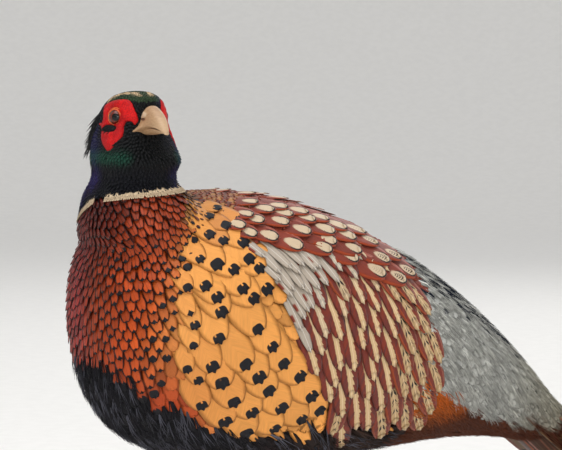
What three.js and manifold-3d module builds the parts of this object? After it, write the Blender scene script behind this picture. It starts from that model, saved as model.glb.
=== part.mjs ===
// A male common pheasant at life size, standing still with its head turned to its left.
// Millimetres, +Z up. The bird faces -Y, its left side is +X, and its head faces +X.
// The tail hangs steeply from the rump and then trails along the floor.

import * as THREE from "three";
import { mergeVertices } from "three/addons/utils/BufferGeometryUtils.js";
import Module from "manifold-3d";

const wasm = await Module();
wasm.setup();

// Driving dimensions

const GAP = 0.3; // what touching pieces keep between them
const FAR = 2000; // half the size of the blocks that cut along a plane

// The torso's outline from breast to tail coverts, in rows of place along Y, height of the back,
// height of the belly, and half width. The first and last rows are its round ends.
const TORSO_ROWS = [
  [-139, 205, 205, 0],
  [-136.5, 240, 174, 28],
  [-127, 262, 146, 47],
  [-104, 277, 119, 65],
  [-58, 287, 102, 77],
  [0, 283, 98, 80],
  [50, 268, 99, 77],
  [100, 243, 104, 68],
  [150, 210, 107, 54],
  [195, 173, 104, 37],
  [230, 137, 98, 24],
  [262, 107, 107, 0],
];
const TORSO_SQUARENESS = 2.15; // 2 is an ellipse, more is fuller at the corners
const TORSO_AROUND = 26;
const TORSO_ALONG = 20;

// Head and neck, in rows of height, reach forward and back along X, half width, and place along Y.
// X counts from the head's middle, which is HEAD_SHIFT to the bird's left.
const HEAD_ROWS = [
  [222, 30, -30, 28, -84],
  [240, 45, -45, 41, -87],
  [257, 49.5, -49.5, 45, -91.5],
  [271, 44.5, -44.5, 40, -96],
  [284, 37, -37, 33, -101.5],
  [291, 32, -32, 27.5, -103.5],
  [297, 31, -31, 26, -104],
  [302, 33, -33, 27, -104],
  [307, 36, -36, 28.8, -104],
  [312, 33, -35, 28.2, -104],
  [320, 28, -33, 25.5, -104],
  [328, 26, -30, 22, -104],
  [336, 25.5, -27, 19.8, -104],
  [343, 24, -22, 18, -104],
  [349, 21, -14, 15, -104],
  [352.6, 16, -5, 9, -104],
  [354, 7, 7, 0, -104],
];
const HEAD_Y = -104;
const HEAD_SHIFT = 6.5;
const HEAD_SQUARENESS = 2.6;
const HEAD_AROUND = 22;
const HEAD_ALONG = 22;
const RING_HEIGHT = 276; // the white ring's plane, where neck and torso part
const RING_CENTRE_Y = -98;
const RING_RISE_BACK = 0.2;
const RING_RISE_LEFT = 0.15;
const THROAT_HEIGHT = 299; // the plane where head and neck part

// Bill, both jaws, in the head's frame
const GAPE_FRONT_X = 49;
const GAPE_BACK_X = 18;
const GAPE_HEIGHT = 327.4;
const GAPE_DROP = 2.4;
const MOUTH_LINE = 0.4;
const UPPER_BILL_ROWS = [
  [15, 343.5, 11.6],
  [22, 344, 11],
  [30, 343.4, 8.8],
  [37, 340.8, 6.8],
  [43.5, 335.8, 4.6],
  [47.6, 329.6, 2.5],
  [49, 325.2, 0],
];
const LOWER_BILL_ROWS = [
  [15, 6.4, 10.8],
  [22, 6.4, 9.8],
  [30, 6, 7.4],
  [37, 5, 5.2],
  [42.5, 3.4, 3],
  [45.8, 0, 0],
];
const BILL_AROUND = 12;
const BILL_ALONG = 9;
const NOSTRIL = { x: 28.5, height: 336.6, side: 7.4, long: 2.6, high: 1.1, deep: 2.2 };

// Eye
const EYE = { x: 11, height: 336.5, side: 14.6, radius: 6.2, forward: 22 };
const LID = { radius: 5.6, thickness: 1 };

// Red face skin: bulbs on the side of the head, as place along X, height, radius.
const WATTLE_BULBS = [
  [3.5, 342, 7.6],
  [11, 345, 7.4],
  [18.5, 343, 7.4],
  [22, 336.5, 6.6],
  [1.5, 334, 6.6],
  [19, 329.5, 6.6],
  [16, 323, 7.4],
  [8.5, 325.5, 6.8],
  [12, 317.5, 6.6],
];
const WATTLE_LIFT = 2.2;
const WATTLE_ROUND = 7;

// Ear tufts: tapered locks behind the crown
const TUFT = { count: 4, length: 15, width: 6, thickness: 1.3 };

// Tail
const TAIL_ROOT = { y: 178, height: 164 };
const TAIL_SLOPE = THREE.MathUtils.degToRad(42);
const TAIL_CUT = 50; // how far along the tail's line rump and tail part
const TAIL_STRAIGHT = 60;
const TAIL_BEND = 345.2;
const TAIL_PAIRS = 9;
const TAIL_LENGTH = 478;
const TAIL_SHORTEST = 0.26;
const TAIL_STEP = 1.2;
const TAIL_VANE = 0.7;
const TAIL_ROW = 52; // the feathers are bent at the same places, so that they lie evenly
const TAIL_HALF_WIDTH = 16;
const TAIL_ROOF = 0.3;
const TAIL_FAN = 0.008;
const TAIL_STUB = 66; // how far along the line the rump's solid end reaches
const TAIL_COVERT = {
  above: 6,
  below: 5,
  length: 120,
  wide: 21,
  high: 15,
  low: 22,
  spread: 0.3,
  pitch: 0.34,
  topRise: 3,
  underDrop: 22,
};

// Wings, laid on the side of the torso in the plane of Y and Z
const FLANK_EDGE = { top: [-36, 246], bottom: [18, 120] };
const WING_RECESS = 5;
const WING_TIERS = [
  { count: 5, front: [-26, 244], back: [64, 236], length: 46, steep: [56, 46], width: 26 },
  { count: 5, front: [-16, 219], back: [68, 212], length: 52, steep: [66, 50], width: 26 },
  { count: 5, front: [-4, 192], back: [68, 188], length: 58, steep: [68, 48], width: 25 },
  { count: 4, front: [22, 164], back: [66, 164], length: 64, steep: [52, 32], width: 21 },
];
const WING_VANE = 0.8;
const WING_RISE = 3.8; // from a feather's root to its tip
const WING_TILT = 0.4;
const WING_ROOT = 0.14; // the share of a feather's length that is sunk in the wing
const WING_CORE = { front: [[-40, 246], [4, 138]], back: [[72, 240], [86, 144]], outer: 2.4 };

// Legs
const LEG_X = 34;
const THIGH_ROWS = [
  [146, -6, 30],
  [120, 2, 27.5],
  [103, 12, 19.5],
  [90, 21, 12],
  [81, 27, 8],
  [75, 29, 0],
];
const SHANK_ROWS = [
  [88, 28, 3],
  [80, 28.5, 5.6],
  [70, 25.5, 4.4],
  [45, 17.5, 3.7],
  [22, 10.5, 4.1],
  [8, 7, 4.8],
];
const ANKLE_CUT = 10.5;
const FOOT = { y: 6, palm: 7.2, palmHeight: 6 };
const SCUTES = 13;
const SCUTE_RISE = 0.45;
const TOES = [
  { name: "inner", turn: -32, length: 36, radius: 3.5, claw: 9 },
  { name: "middle", turn: 3, length: 49, radius: 3.8, claw: 10 },
  { name: "outer", turn: 38, length: 38, radius: 3.4, claw: 9 },
  { name: "hind", turn: 168, length: 15, radius: 2.7, claw: 7 },
];
const SPUR = { height: 30, length: 13, radius: 3.1 };

// Finishes

const finish = (color, roughness, metalness = 0) =>
  new THREE.MeshStandardMaterial({ color, roughness, metalness });
const copperPlumage = finish(0x9c4420, 0.7);
const greenPlumage = finish(0x10201f, 0.45);
const buffPlumage = finish(0x9a8060, 0.75);
const wingPlumage = finish(0x8d8378, 0.75);
const thighPlumage = finish(0x2a2320, 0.85);
const redSkin = finish(0xc01a18, 0.6);
const hornBill = finish(0xc9ad82, 0.5);
const legScale = finish(0x77716a, 0.6);
const hornClaw = finish(0x3a332c, 0.45);
const darkEye = finish(0x2a1608, 0.1);

// General forms

// A closed geometry as a solid that faces outwards.
function solidOf(geometry) {
  const bare = new THREE.BufferGeometry().setAttribute("position", geometry.getAttribute("position"));
  bare.setIndex(geometry.index);
  const merged = mergeVertices(bare, 1e-4);
  const vertProperties = new Float32Array(merged.attributes.position.array);
  const triVerts = new Uint32Array(merged.index.array);
  const made = new wasm.Manifold(new wasm.Mesh({ numProp: 3, vertProperties, triVerts }));
  if (made.volume() > 0) return made;
  for (let i = 0; i < triVerts.length; i += 3) {
    [triVerts[i + 1], triVerts[i + 2]] = [triVerts[i + 2], triVerts[i + 1]];
  }
  return new wasm.Manifold(new wasm.Mesh({ numProp: 3, vertProperties, triVerts }));
}

// The largest closed body of a solid, without sealed hollows or loose scraps.
function largest(solid) {
  return solid.decompose().reduce((a, b) => (b.volume() > a.volume() ? b : a));
}

const fuse = (pieces) => pieces.reduce((sum, piece) => sum.add(piece));

// A sphere whose vertices are moved by place(angle, share): angle goes round, share from pole to pole.
function blob(around, along, place) {
  const sphere = new THREE.SphereGeometry(1, around, along);
  const { position, uv } = sphere.attributes;
  for (let i = 0; i < position.count; i++) {
    const point = place(2 * Math.PI * uv.getX(i), 1 - uv.getY(i));
    position.setXYZ(i, point.x, point.y, point.z);
  }
  return solidOf(sphere);
}

const evenly = (rows) => Array.from({ length: rows + 1 }, (_, r) => r / rows);

// A thin curved plate. surface(across, along) is its middle, across from -1 to 1 and along from 0 to 1,
// in rows at the given places along. Both faces are split into triangles alike.
function plate(columns, places, surface, thicknessAt) {
  const points = [];
  const step = 1e-3;
  const rows = places.length - 1;
  for (const side of [1, -1]) {
    for (let r = 0; r <= rows; r++) {
      for (let c = 0; c <= columns; c++) {
        const across = (2 * c) / columns - 1;
        const along = places[r];
        const middle = surface(across, along);
        const acrossWay = surface(across + step, along).sub(surface(across - step, along));
        const alongWay = surface(across, along + step).sub(surface(across, along - step));
        const normal = acrossWay.cross(alongWay).normalize();
        points.push(middle.addScaledVector(normal, (side * thicknessAt(across, along)) / 2));
      }
    }
  }
  const wide = columns + 1;
  const face = wide * (rows + 1);
  const index = [];
  const quad = (a, b, c, d) => index.push(a, b, c, a, c, d);
  for (let r = 0; r < rows; r++) {
    for (let c = 0; c < columns; c++) {
      const a = r * wide + c;
      quad(a, a + 1, a + wide + 1, a + wide);
      index.push(face + a, face + a + wide + 1, face + a + 1);
      index.push(face + a, face + a + wide, face + a + wide + 1);
    }
  }
  for (let r = 0; r < rows; r++) {
    const left = r * wide;
    const right = left + columns;
    quad(left, left + wide, face + left + wide, face + left);
    quad(right, face + right, face + right + wide, right + wide);
  }
  for (let c = 0; c < columns; c++) {
    const top = rows * wide + c;
    quad(c, face + c, face + c + 1, c + 1);
    quad(top, top + 1, face + top + 1, face + top);
  }
  const geometry = new THREE.BufferGeometry().setFromPoints(points);
  geometry.setIndex(index);
  return solidOf(geometry);
}

// Rows of sizes joined by a smooth curve. before and after stand for the rows past the ends.
function smoothRow(rows, share, before = rows[0], after = rows[rows.length - 1]) {
  const last = rows.length - 1;
  const place = THREE.MathUtils.clamp(share, 0, 1) * last;
  const i = Math.min(Math.floor(place), last - 1);
  const t = place - i;
  const a = i > 0 ? rows[i - 1] : before;
  const d = i + 2 <= last ? rows[i + 2] : after;
  return rows[i].map((b, k) => {
    const c = rows[i + 1][k];
    const bend = 2 * a[k] - 5 * b + 4 * c - d[k];
    const twist = 3 * b - a[k] - 3 * c + d[k];
    return b + 0.5 * t * (c - a[k] + t * (bend + t * twist));
  });
}

// A row past a round end, so that the curve passes through the end square to the axis.
const mirrored = ([along, top, bottom, half]) => [along, bottom, top, -half];

function roundedRow(rows, share) {
  return smoothRow(rows, share, mirrored(rows[1]), mirrored(rows[rows.length - 2]));
}

const signedPower = (value, power) => Math.sign(value) * Math.abs(value) ** power;

// A block that fills everything on one side of a plane, from a point of the plane and its normal.
function sideOf(point, normal) {
  const block = new THREE.BoxGeometry(FAR, FAR, FAR);
  block.translate(0, 0, FAR / 2);
  const turn = new THREE.Quaternion().setFromUnitVectors(new THREE.Vector3(0, 0, 1), normal);
  block.applyQuaternion(turn);
  block.translate(point.x, point.y, point.z);
  return solidOf(block);
}

// The two halves of a solid on both sides of a plane, with the gap between them.
function part(solid, point, normal) {
  const shift = normal.clone().multiplyScalar(GAP / 2);
  const front = solid.intersect(sideOf(point.clone().add(shift), normal));
  const behind = solid.intersect(sideOf(point.clone().sub(shift), normal.clone().negate()));
  return [front, behind];
}

const bird = new THREE.Group();

function addNode(name, solid, material) {
  const mesh = largest(solid).getMesh();
  const geometry = new THREE.BufferGeometry();
  geometry.setAttribute("position", new THREE.BufferAttribute(mesh.vertProperties, 3));
  geometry.setIndex(new THREE.BufferAttribute(mesh.triVerts, 1));
  const node = new THREE.Mesh(geometry, material);
  node.name = name;
  bird.add(node);
}

// Torso

function torsoRow(share) {
  return roundedRow(TORSO_ROWS, share);
}

// The share of the torso's length at a place along Y.
function torsoShareAt(y) {
  let low = 0;
  let high = 1;
  for (let i = 0; i < 24; i++) {
    const middle = (low + high) / 2;
    if (torsoRow(middle)[0] < y) low = middle;
    else high = middle;
  }
  return low;
}

const smoothStep = (x, from, to) => THREE.MathUtils.smoothstep(x, from, to);

// How deep the side is hollowed behind the edge of the flank, where the wing lies.
function wingRecess(y, z) {
  const [topY, topZ] = FLANK_EDGE.top;
  const [bottomY, bottomZ] = FLANK_EDGE.bottom;
  const edgeY = topY + ((topZ - z) / (topZ - bottomZ)) * (bottomY - topY);
  const behindEdge = smoothStep(y, edgeY - 8, edgeY + 8);
  const beforeRump = 1 - smoothStep(y, 100, 140);
  const belowBack = 1 - smoothStep(z, 244 - 0.2 * y, 262 - 0.2 * y);
  const aboveBelly = smoothStep(z, 104, 124);
  return WING_RECESS * behindEdge * beforeRump * belowBack * aboveBelly;
}

function torsoPoint(angle, share, grow = 0) {
  const [y, top, bottom, half] = torsoRow(share);
  const spread = share <= 0 || share >= 1 ? 0 : grow;
  const middle = (top + bottom) / 2;
  const reach = (top - bottom) / 2 + spread;
  const power = 2 / TORSO_SQUARENESS;
  const z = middle + reach * signedPower(Math.sin(angle), power);
  const flatX = (half + spread) * signedPower(Math.cos(angle), power);
  const x = Math.sign(flatX) * Math.max(0, Math.abs(flatX) - wingRecess(y, z));
  const endShift = grow * (share < 0.1 ? -1 : share > 0.95 ? 1 : 0);
  return new THREE.Vector3(x, y + endShift, z);
}

// The torso's half width where a vane lies, kept from closing past its outline.
function torsoSide(y, z) {
  const [, top, bottom, half] = torsoRow(torsoShareAt(y));
  const middle = (top + bottom) / 2;
  const reach = (top - bottom) / 2;
  const up = Math.min(Math.abs(z - middle) / reach, 0.97);
  const open = (1 - up ** TORSO_SQUARENESS) ** (1 / TORSO_SQUARENESS);
  return half * open - wingRecess(y, z);
}

const torsoForm = (grow = 0) =>
  blob(TORSO_AROUND, TORSO_ALONG, (angle, share) => torsoPoint(angle, share, grow));

// Head and neck

function headRow(share) {
  return smoothRow(HEAD_ROWS, share);
}

function headRowAt(height) {
  let low = 0;
  let high = 1;
  for (let i = 0; i < 24; i++) {
    const middle = (low + high) / 2;
    if (headRow(middle)[0] < height) low = middle;
    else high = middle;
  }
  return headRow(low);
}

function headPoint(angle, share, grow = 0) {
  const [height, front, back, half, centreY] = headRow(share);
  const open = share <= 0 || share >= 1 ? 0 : 1;
  const power = 2 / HEAD_SQUARENESS;
  const deep = open * ((front - back) / 2 + grow);
  const x = HEAD_SHIFT + (front + back) / 2 + deep * signedPower(Math.cos(angle), power);
  const y = centreY + open * (half + grow) * signedPower(Math.sin(angle), power);
  const lift = share >= 1 ? grow : share <= 0 ? -grow : 0;
  return new THREE.Vector3(x, y, height + lift);
}

// The head's half width at a place along X and a height.
function headSide(x, z) {
  const [, front, back, half] = headRowAt(z);
  const away = Math.min(Math.abs(x - (front + back) / 2) / ((front - back) / 2), 0.97);
  return half * (1 - away ** HEAD_SQUARENESS) ** (1 / HEAD_SQUARENESS);
}

// A point on the side of the head and the way the surface faces there. hand is 1 for left, -1 for right.
function onHead(x, z, hand) {
  const step = 0.5;
  const point = new THREE.Vector3(HEAD_SHIFT + x, HEAD_Y + hand * headSide(x, z), z);
  const slopeX = (headSide(x + step, z) - headSide(x - step, z)) / (2 * step);
  const slopeZ = (headSide(x, z + step) - headSide(x, z - step)) / (2 * step);
  const normal = new THREE.Vector3(-slopeX, hand, -slopeZ).normalize();
  return { point, normal };
}

const headForm = (grow = 0) =>
  blob(HEAD_AROUND, HEAD_ALONG, (angle, share) => headPoint(angle, share, grow));

function turnedTo(geometry, normal, point) {
  const turn = new THREE.Quaternion().setFromUnitVectors(new THREE.Vector3(0, 0, 1), normal);
  geometry.applyQuaternion(turn);
  geometry.translate(point.x, point.y, point.z);
  return solidOf(geometry);
}

// The way an eye looks, sideways and a little forward.
function eyeWay(hand) {
  const forward = THREE.MathUtils.degToRad(EYE.forward);
  return new THREE.Vector3(Math.sin(forward), hand * Math.cos(forward), 0);
}

const eyeCentre = (hand) => new THREE.Vector3(HEAD_SHIFT + EYE.x, HEAD_Y + hand * EYE.side, EYE.height);

function eyeBall(hand, grow = 0) {
  const ball = new THREE.SphereGeometry(EYE.radius + grow, 12, 7);
  return turnedTo(ball, eyeWay(hand), eyeCentre(hand));
}

// One tapered lock behind the crown that hangs back and down and stands off the cheek at its tip.
function earLock(hand, i) {
  const share = i / (TUFT.count - 1);
  const rootX = -14 - 6 * share;
  const rootZ = 342 - 18 * share;
  const root = onHead(rootX, rootZ, hand);
  const tip = onHead(rootX - 7, rootZ - TUFT.length, hand);
  const start = root.point.addScaledVector(root.normal, -1.6);
  const end = tip.point.addScaledVector(tip.normal, 4.2);
  const side = new THREE.Vector3(0.86, 0.1 * hand, -0.4).normalize();
  const surface = (across, along) => {
    const width = 0.5 * TUFT.width * (1 - 0.75 * along);
    const bow = 1.6 * Math.sin(Math.PI * along);
    const middle = start.clone().lerp(end, along).addScaledVector(tip.normal, bow);
    return middle.addScaledVector(side, width * across);
  };
  return plate(2, evenly(2), surface, (across) => TUFT.thickness * (1 - 0.45 * Math.abs(across)));
}

function wattle(hand, space) {
  const bulbs = WATTLE_BULBS.map(([x, z, radius], i) => {
    const { point, normal } = onHead(x, z, hand);
    const bulb = new THREE.SphereGeometry(1, WATTLE_ROUND, 4);
    const lift = WATTLE_LIFT + 0.35 * Math.sin(3 * i);
    bulb.rotateX(Math.PI / 2);
    bulb.scale(radius, radius, lift + 0.9);
    return turnedTo(bulb, normal, point.addScaledVector(normal, -0.9));
  });
  const ring = new THREE.TorusGeometry(LID.radius, LID.thickness, 5, 12);
  const lid = turnedTo(ring, eyeWay(hand), eyeCentre(hand).addScaledVector(eyeWay(hand), 4.6));
  return fuse([...bulbs, lid]).subtract(space).subtract(eyeBall(hand, GAP));
}

// Bill

const gapeLine = (x) =>
  GAPE_HEIGHT - GAPE_DROP * (Math.max(0, x - GAPE_BACK_X) / (GAPE_FRONT_X - GAPE_BACK_X)) ** 2.2;

function upperBillPoint(angle, share, grow = 0) {
  const [x, ridge, side] = smoothRow(UPPER_BILL_ROWS, share);
  const top = ridge + grow;
  const half = side + grow;
  const bottom = gapeLine(x) - grow;
  const open = share <= 0 || share >= 1 ? 0 : 1;
  const keel = bottom + 0.22 * Math.max(0, top - bottom);
  const up = Math.sin(angle);
  const z = up > 0 ? keel + (top - keel) * up : keel + (keel - bottom) * Math.max(up * 1.6, -1);
  return new THREE.Vector3(HEAD_SHIFT + x, HEAD_Y + open * half * Math.cos(angle), open ? z : keel);
}

function lowerBillPoint(angle, share) {
  const [x, deep, half] = smoothRow(LOWER_BILL_ROWS, share);
  const top = gapeLine(x) - MOUTH_LINE;
  const open = share <= 0 || share >= 1 ? 0 : 1;
  const edge = top - 0.25 * deep;
  const up = Math.sin(angle);
  const z = up > 0 ? edge + (top - edge) * Math.min(1, up * 1.6) : edge + 0.75 * deep * up;
  return new THREE.Vector3(HEAD_SHIFT + x, HEAD_Y + open * half * Math.cos(angle), open ? z : edge);
}

function nostrilTool(hand, grow, rise) {
  const hole = new THREE.SphereGeometry(1, 7, 4);
  hole.scale(NOSTRIL.long + grow, NOSTRIL.deep + 0.4 * grow, NOSTRIL.high + grow);
  const x = HEAD_SHIFT + NOSTRIL.x - 0.5 * grow;
  const y = HEAD_Y + hand * (NOSTRIL.side - 0.4 * rise);
  hole.translate(x, y, NOSTRIL.height + rise);
  return solidOf(hole);
}

// Tail

// The middle line of the tail at a distance from its root: straight, then bending level with the floor.
function tailCurve(distance) {
  const straight = Math.min(distance, TAIL_STRAIGHT);
  const bent = THREE.MathUtils.clamp(distance - TAIL_STRAIGHT, 0, TAIL_BEND);
  const level = Math.max(0, distance - TAIL_STRAIGHT - TAIL_BEND);
  const radius = TAIL_BEND / TAIL_SLOPE;
  const slope = TAIL_SLOPE - bent / radius;
  const run = straight * Math.cos(TAIL_SLOPE) + radius * (Math.sin(TAIL_SLOPE) - Math.sin(slope));
  const drop = straight * Math.sin(TAIL_SLOPE) + radius * (Math.cos(slope) - Math.cos(TAIL_SLOPE));
  return { y: TAIL_ROOT.y + run + level, z: TAIL_ROOT.height - drop, slope };
}

// The same line bent only at even places, so that all feathers lie evenly over one another.
function tailLine(distance) {
  const place = distance / TAIL_ROW;
  const before = tailCurve(Math.floor(place) * TAIL_ROW);
  const after = tailCurve((Math.floor(place) + 1) * TAIL_ROW);
  const t = place - Math.floor(place);
  const between = (a, b) => THREE.MathUtils.lerp(a, b, t);
  const y = between(before.y, after.y);
  const z = between(before.z, after.z);
  const back = between(Math.sin(before.slope), Math.sin(after.slope));
  const down = between(Math.cos(before.slope), Math.cos(after.slope));
  return { y, z, back, down };
}

// How far the roof's slope lowers the tail at x from its middle.
const roofAt = (x, distance) => TAIL_ROOF * Math.abs(x) * THREE.MathUtils.clamp(1 - distance / 416, 0, 1);

// A point of the tail, sideways by x and square to its line by rise.
function tailPoint(x, distance, rise) {
  const { y, z, back, down } = tailLine(distance);
  return new THREE.Vector3(x, y + rise * back, z + rise * down);
}

// The outline of a feather: narrow root, even blade, rounded point.
function bladeWidth(along, pointed) {
  const root = 0.45 + 0.55 * smoothStep(along, 0, 0.25);
  const tip = Math.sqrt(Math.max(0, 1 - Math.max(0, (along - pointed) / (1 - pointed)) ** 2));
  return root * Math.max(0.14, tip);
}

function tailFeather(pair, hand) {
  const share = pair / (TAIL_PAIRS - 1);
  const length = TAIL_LENGTH * (1 - (1 - TAIL_SHORTEST) * share ** 0.8);
  const layer = pair === 0 && hand > 0 ? 0 : pair + 1;
  const bends = Array.from({ length: Math.floor((length - 12) / TAIL_ROW) }, (_, i) => (i + 1) * TAIL_ROW);
  const places = [...bends, length - 10, length].map((distance) => distance / length);
  const surface = (across, along) => {
    const distance = length * along;
    const middle = 5.5 + 1.5 * pair + TAIL_FAN * pair * distance;
    const width = TAIL_HALF_WIDTH * (1 - 0.2 * share) * bladeWidth(along, 0.82 - 0.3 * share);
    const inner = pair === 0 ? middle - width : Math.max(0.5, middle - width);
    const outer = Math.max(middle + width, inner + 2);
    const overlapping = across < 0 ? -across * inner : across * outer;
    const beside = THREE.MathUtils.lerp(inner, outer, (across + 1) / 2);
    const x = inner < 0 ? overlapping : beside;
    return tailPoint(hand * x, distance, -TAIL_STEP * layer - roofAt(x, distance));
  };
  const thickness = (across) => TAIL_VANE * (1 - 0.3 * Math.abs(across));
  return plate(2, places, surface, thickness);
}

// A covert that streams from the rump over or under the base of the tail. turn is its place around.
function tailCovert(turn, layer) {
  const { length, wide, high, low, spread, topRise, underDrop } = TAIL_COVERT;
  const reach = length * (0.62 + 0.38 * Math.cos(turn) ** 2);
  const surface = (across, along) => {
    const angle = turn + spread * bladeWidth(0.25 + 0.75 * along, 0.6) * across;
    const distance = TAIL_ROW + 1 + reach * along;
    const x = (wide + 2 * along) * Math.sin(angle);
    const up = Math.cos(angle);
    const before = (up > 0 ? high * up : low * up) * (0.82 + 0.22 * smoothStep(distance, TAIL_ROW, 72));
    const after = (up > 0 ? topRise * up : underDrop * up) - roofAt(x, distance);
    const blend = smoothStep(distance, TAIL_ROW + 2, 128);
    return tailPoint(x, distance, THREE.MathUtils.lerp(before, after, blend) + Math.sign(up) * layer);
  };
  const thickness = (across) => 0.8 * (1 - 0.3 * Math.abs(across));
  return plate(2, evenly(3), surface, thickness);
}

// Wings

function wingSurface(hand, y, z, lift) {
  return new THREE.Vector3(hand * (torsoSide(y, z) + lift), y, z);
}

function wingFeather(hand, tier, i) {
  const share = i / (tier.count - 1);
  const startY = THREE.MathUtils.lerp(tier.front[0], tier.back[0], share);
  const startZ = THREE.MathUtils.lerp(tier.front[1], tier.back[1], share);
  const steep = THREE.MathUtils.degToRad(THREE.MathUtils.lerp(tier.steep[0], tier.steep[1], share));
  const length = tier.length * (0.9 + 0.2 * share);
  const surface = (across, along) => {
    const angle = steep - 0.12 * along;
    const width = 0.5 * tier.width * bladeWidth(along, 0.62) * across;
    const y = startY + length * along * Math.cos(angle) + width * Math.sin(angle);
    const z = startZ - length * along * Math.sin(angle) + width * Math.cos(angle);
    const sunk = 1.6 * (1 - smoothStep(along, 0, WING_ROOT));
    const lift = WING_CORE.outer + 0.5 - sunk + (WING_RISE - 0.5) * along + WING_TILT * across;
    return wingSurface(hand, y, z, lift);
  };
  const thickness = (across) => WING_VANE * (1 - 0.35 * Math.abs(across));
  return plate(2, [0, WING_ROOT, 0.55, 1], surface, thickness);
}

function wingCore(hand) {
  const [frontTop, frontBottom] = WING_CORE.front;
  const [backTop, backBottom] = WING_CORE.back;
  const inner = -3;
  const surface = (across, along) => {
    const down = (across + 1) / 2;
    const topY = THREE.MathUtils.lerp(frontTop[0], backTop[0], along);
    const topZ = THREE.MathUtils.lerp(frontTop[1], backTop[1], along);
    const bottomY = THREE.MathUtils.lerp(frontBottom[0], backBottom[0], along);
    const bottomZ = THREE.MathUtils.lerp(frontBottom[1], backBottom[1], along);
    const y = THREE.MathUtils.lerp(topY, bottomY, down);
    const z = THREE.MathUtils.lerp(topZ, bottomZ, down);
    return wingSurface(hand, y, z, (WING_CORE.outer + inner) / 2);
  };
  return plate(4, evenly(6), surface, () => WING_CORE.outer - inner);
}

function wing(hand, torso) {
  const feathers = WING_TIERS.flatMap((tier) =>
    Array.from({ length: tier.count }, (_, i) => wingFeather(hand, tier, i)),
  );
  return fuse([wingCore(hand), ...feathers]).subtract(torso);
}

// Legs

function legTube(rows, hand, around, along, ridges = 0) {
  return blob(around, along, (angle, share) => {
    const [height, y, radius] = smoothRow(rows, share);
    const open = share <= 0 || share >= 1 ? 0 : 1;
    const front = Math.max(0, -Math.sin(angle));
    const step = ridges ? (share * ridges) % 1 : 0;
    const reach = open * (radius + SCUTE_RISE * step * front);
    return new THREE.Vector3(hand * LEG_X + reach * Math.cos(angle), y + reach * Math.sin(angle), height);
  });
}

const toeStart = (hand) => new THREE.Vector3(hand * LEG_X, FOOT.y, 0);

function toeWay(toe, hand) {
  const turn = THREE.MathUtils.degToRad(toe.turn) * hand;
  return new THREE.Vector3(Math.sin(turn), -Math.cos(turn), 0);
}

// A toe as a row of pads that lies on the floor, narrowing to the claw.
function toeForm(toe, hand, grow = 0) {
  const way = toeWay(toe, hand);
  const side = new THREE.Vector3(-way.y, way.x, 0);
  const pads = Math.max(2, Math.round(toe.length / 11));
  return blob(7, 2 * pads + 1, (angle, share) => {
    const pad = 1 + 0.09 * Math.cos(2 * Math.PI * pads * share);
    const end = Math.sin(Math.PI * THREE.MathUtils.clamp(share, 0, 1)) ** 0.22;
    const radius = toe.radius * (1.1 - 0.38 * share) * pad * end + grow;
    const reach = share <= 0 || share >= 1 ? 0 : radius;
    const height = toe.radius * (0.78 - 0.2 * share) + FOOT.palmHeight * 0.35 * (1 - share) ** 3;
    return toeStart(hand)
      .addScaledVector(way, (toe.length + grow) * share)
      .addScaledVector(side, reach * Math.cos(angle))
      .add(new THREE.Vector3(0, 0, height + reach * Math.sin(angle)));
  });
}

// A claw that curves down from the end of its toe.
function clawForm(toe, hand) {
  const way = toeWay(toe, hand);
  const side = new THREE.Vector3(-way.y, way.x, 0);
  const root = toe.length - 3;
  const rise = toe.radius * 0.66;
  return blob(6, 4, (angle, share) => {
    const reach = share <= 0 || share >= 1 ? 0 : 1.9 * (1 - share) + 0.35;
    const height = rise + 1.4 * Math.sin(Math.PI * share) - (rise - 0.9) * share * share;
    return toeStart(hand)
      .addScaledVector(way, root + (toe.claw + 2) * share)
      .addScaledVector(side, 0.8 * reach * Math.cos(angle))
      .add(new THREE.Vector3(0, 0, height + reach * Math.sin(angle)));
  });
}

// The spur on the back and inner side of the shank.
function spurForm(hand) {
  const way = new THREE.Vector3(-0.45 * hand, 0.86, 0.12).normalize();
  const side = new THREE.Vector3(way.y, -way.x, 0).normalize();
  const up = new THREE.Vector3().crossVectors(side, way);
  const start = new THREE.Vector3(hand * LEG_X, 12.6, SPUR.height);
  return blob(7, 4, (angle, share) => {
    const reach = share <= 0 || share >= 1 ? 0 : SPUR.radius * (1 - share) + 0.3;
    return start
      .clone()
      .addScaledVector(way, SPUR.length * share)
      .addScaledVector(side, reach * Math.cos(angle))
      .addScaledVector(up, reach * Math.sin(angle) + 2.2 * share * share);
  });
}

function addLeg(sideName, hand, torso) {
  const floor = sideOf(new THREE.Vector3(0, 0, 0), new THREE.Vector3(0, 0, 1));
  const palm = new THREE.SphereGeometry(FOOT.palm, 10, 6);
  palm.translate(hand * LEG_X, FOOT.y, FOOT.palmHeight);
  const shankTube = legTube(SHANK_ROWS, hand, 9, 2 * SCUTES, SCUTES);
  const toes = TOES.map((toe) => toeForm(toe, hand));
  const lower = fuse([shankTube, solidOf(palm), ...toes]).intersect(floor);
  const cutAt = new THREE.Vector3(0, 0, ANKLE_CUT);
  const [shank, foot] = part(lower, cutAt, new THREE.Vector3(0, 0, 1));
  const spur = spurForm(hand);
  const grownRows = SHANK_ROWS.map(([height, y, radius]) => [height + GAP, y, radius + GAP]);
  const shankSpace = legTube(grownRows, hand, 9, 2 * SCUTES, SCUTES);
  const thigh = legTube(THIGH_ROWS, hand, 12, 8).subtract(torso).subtract(shankSpace);
  addNode(`thigh_${sideName}`, thigh, thighPlumage);
  addNode(`shank_${sideName}`, shank, legScale);
  addNode(`foot_${sideName}`, foot, legScale);
  addNode(`spur_${sideName}`, spur.subtract(shankSpace), hornClaw);
  for (const toe of TOES) {
    const claw = clawForm(toe, hand).subtract(toeForm(toe, hand, GAP));
    addNode(`claw_${toe.name}_${sideName}`, claw, hornClaw);
  }
}

// The whole bird

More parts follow.
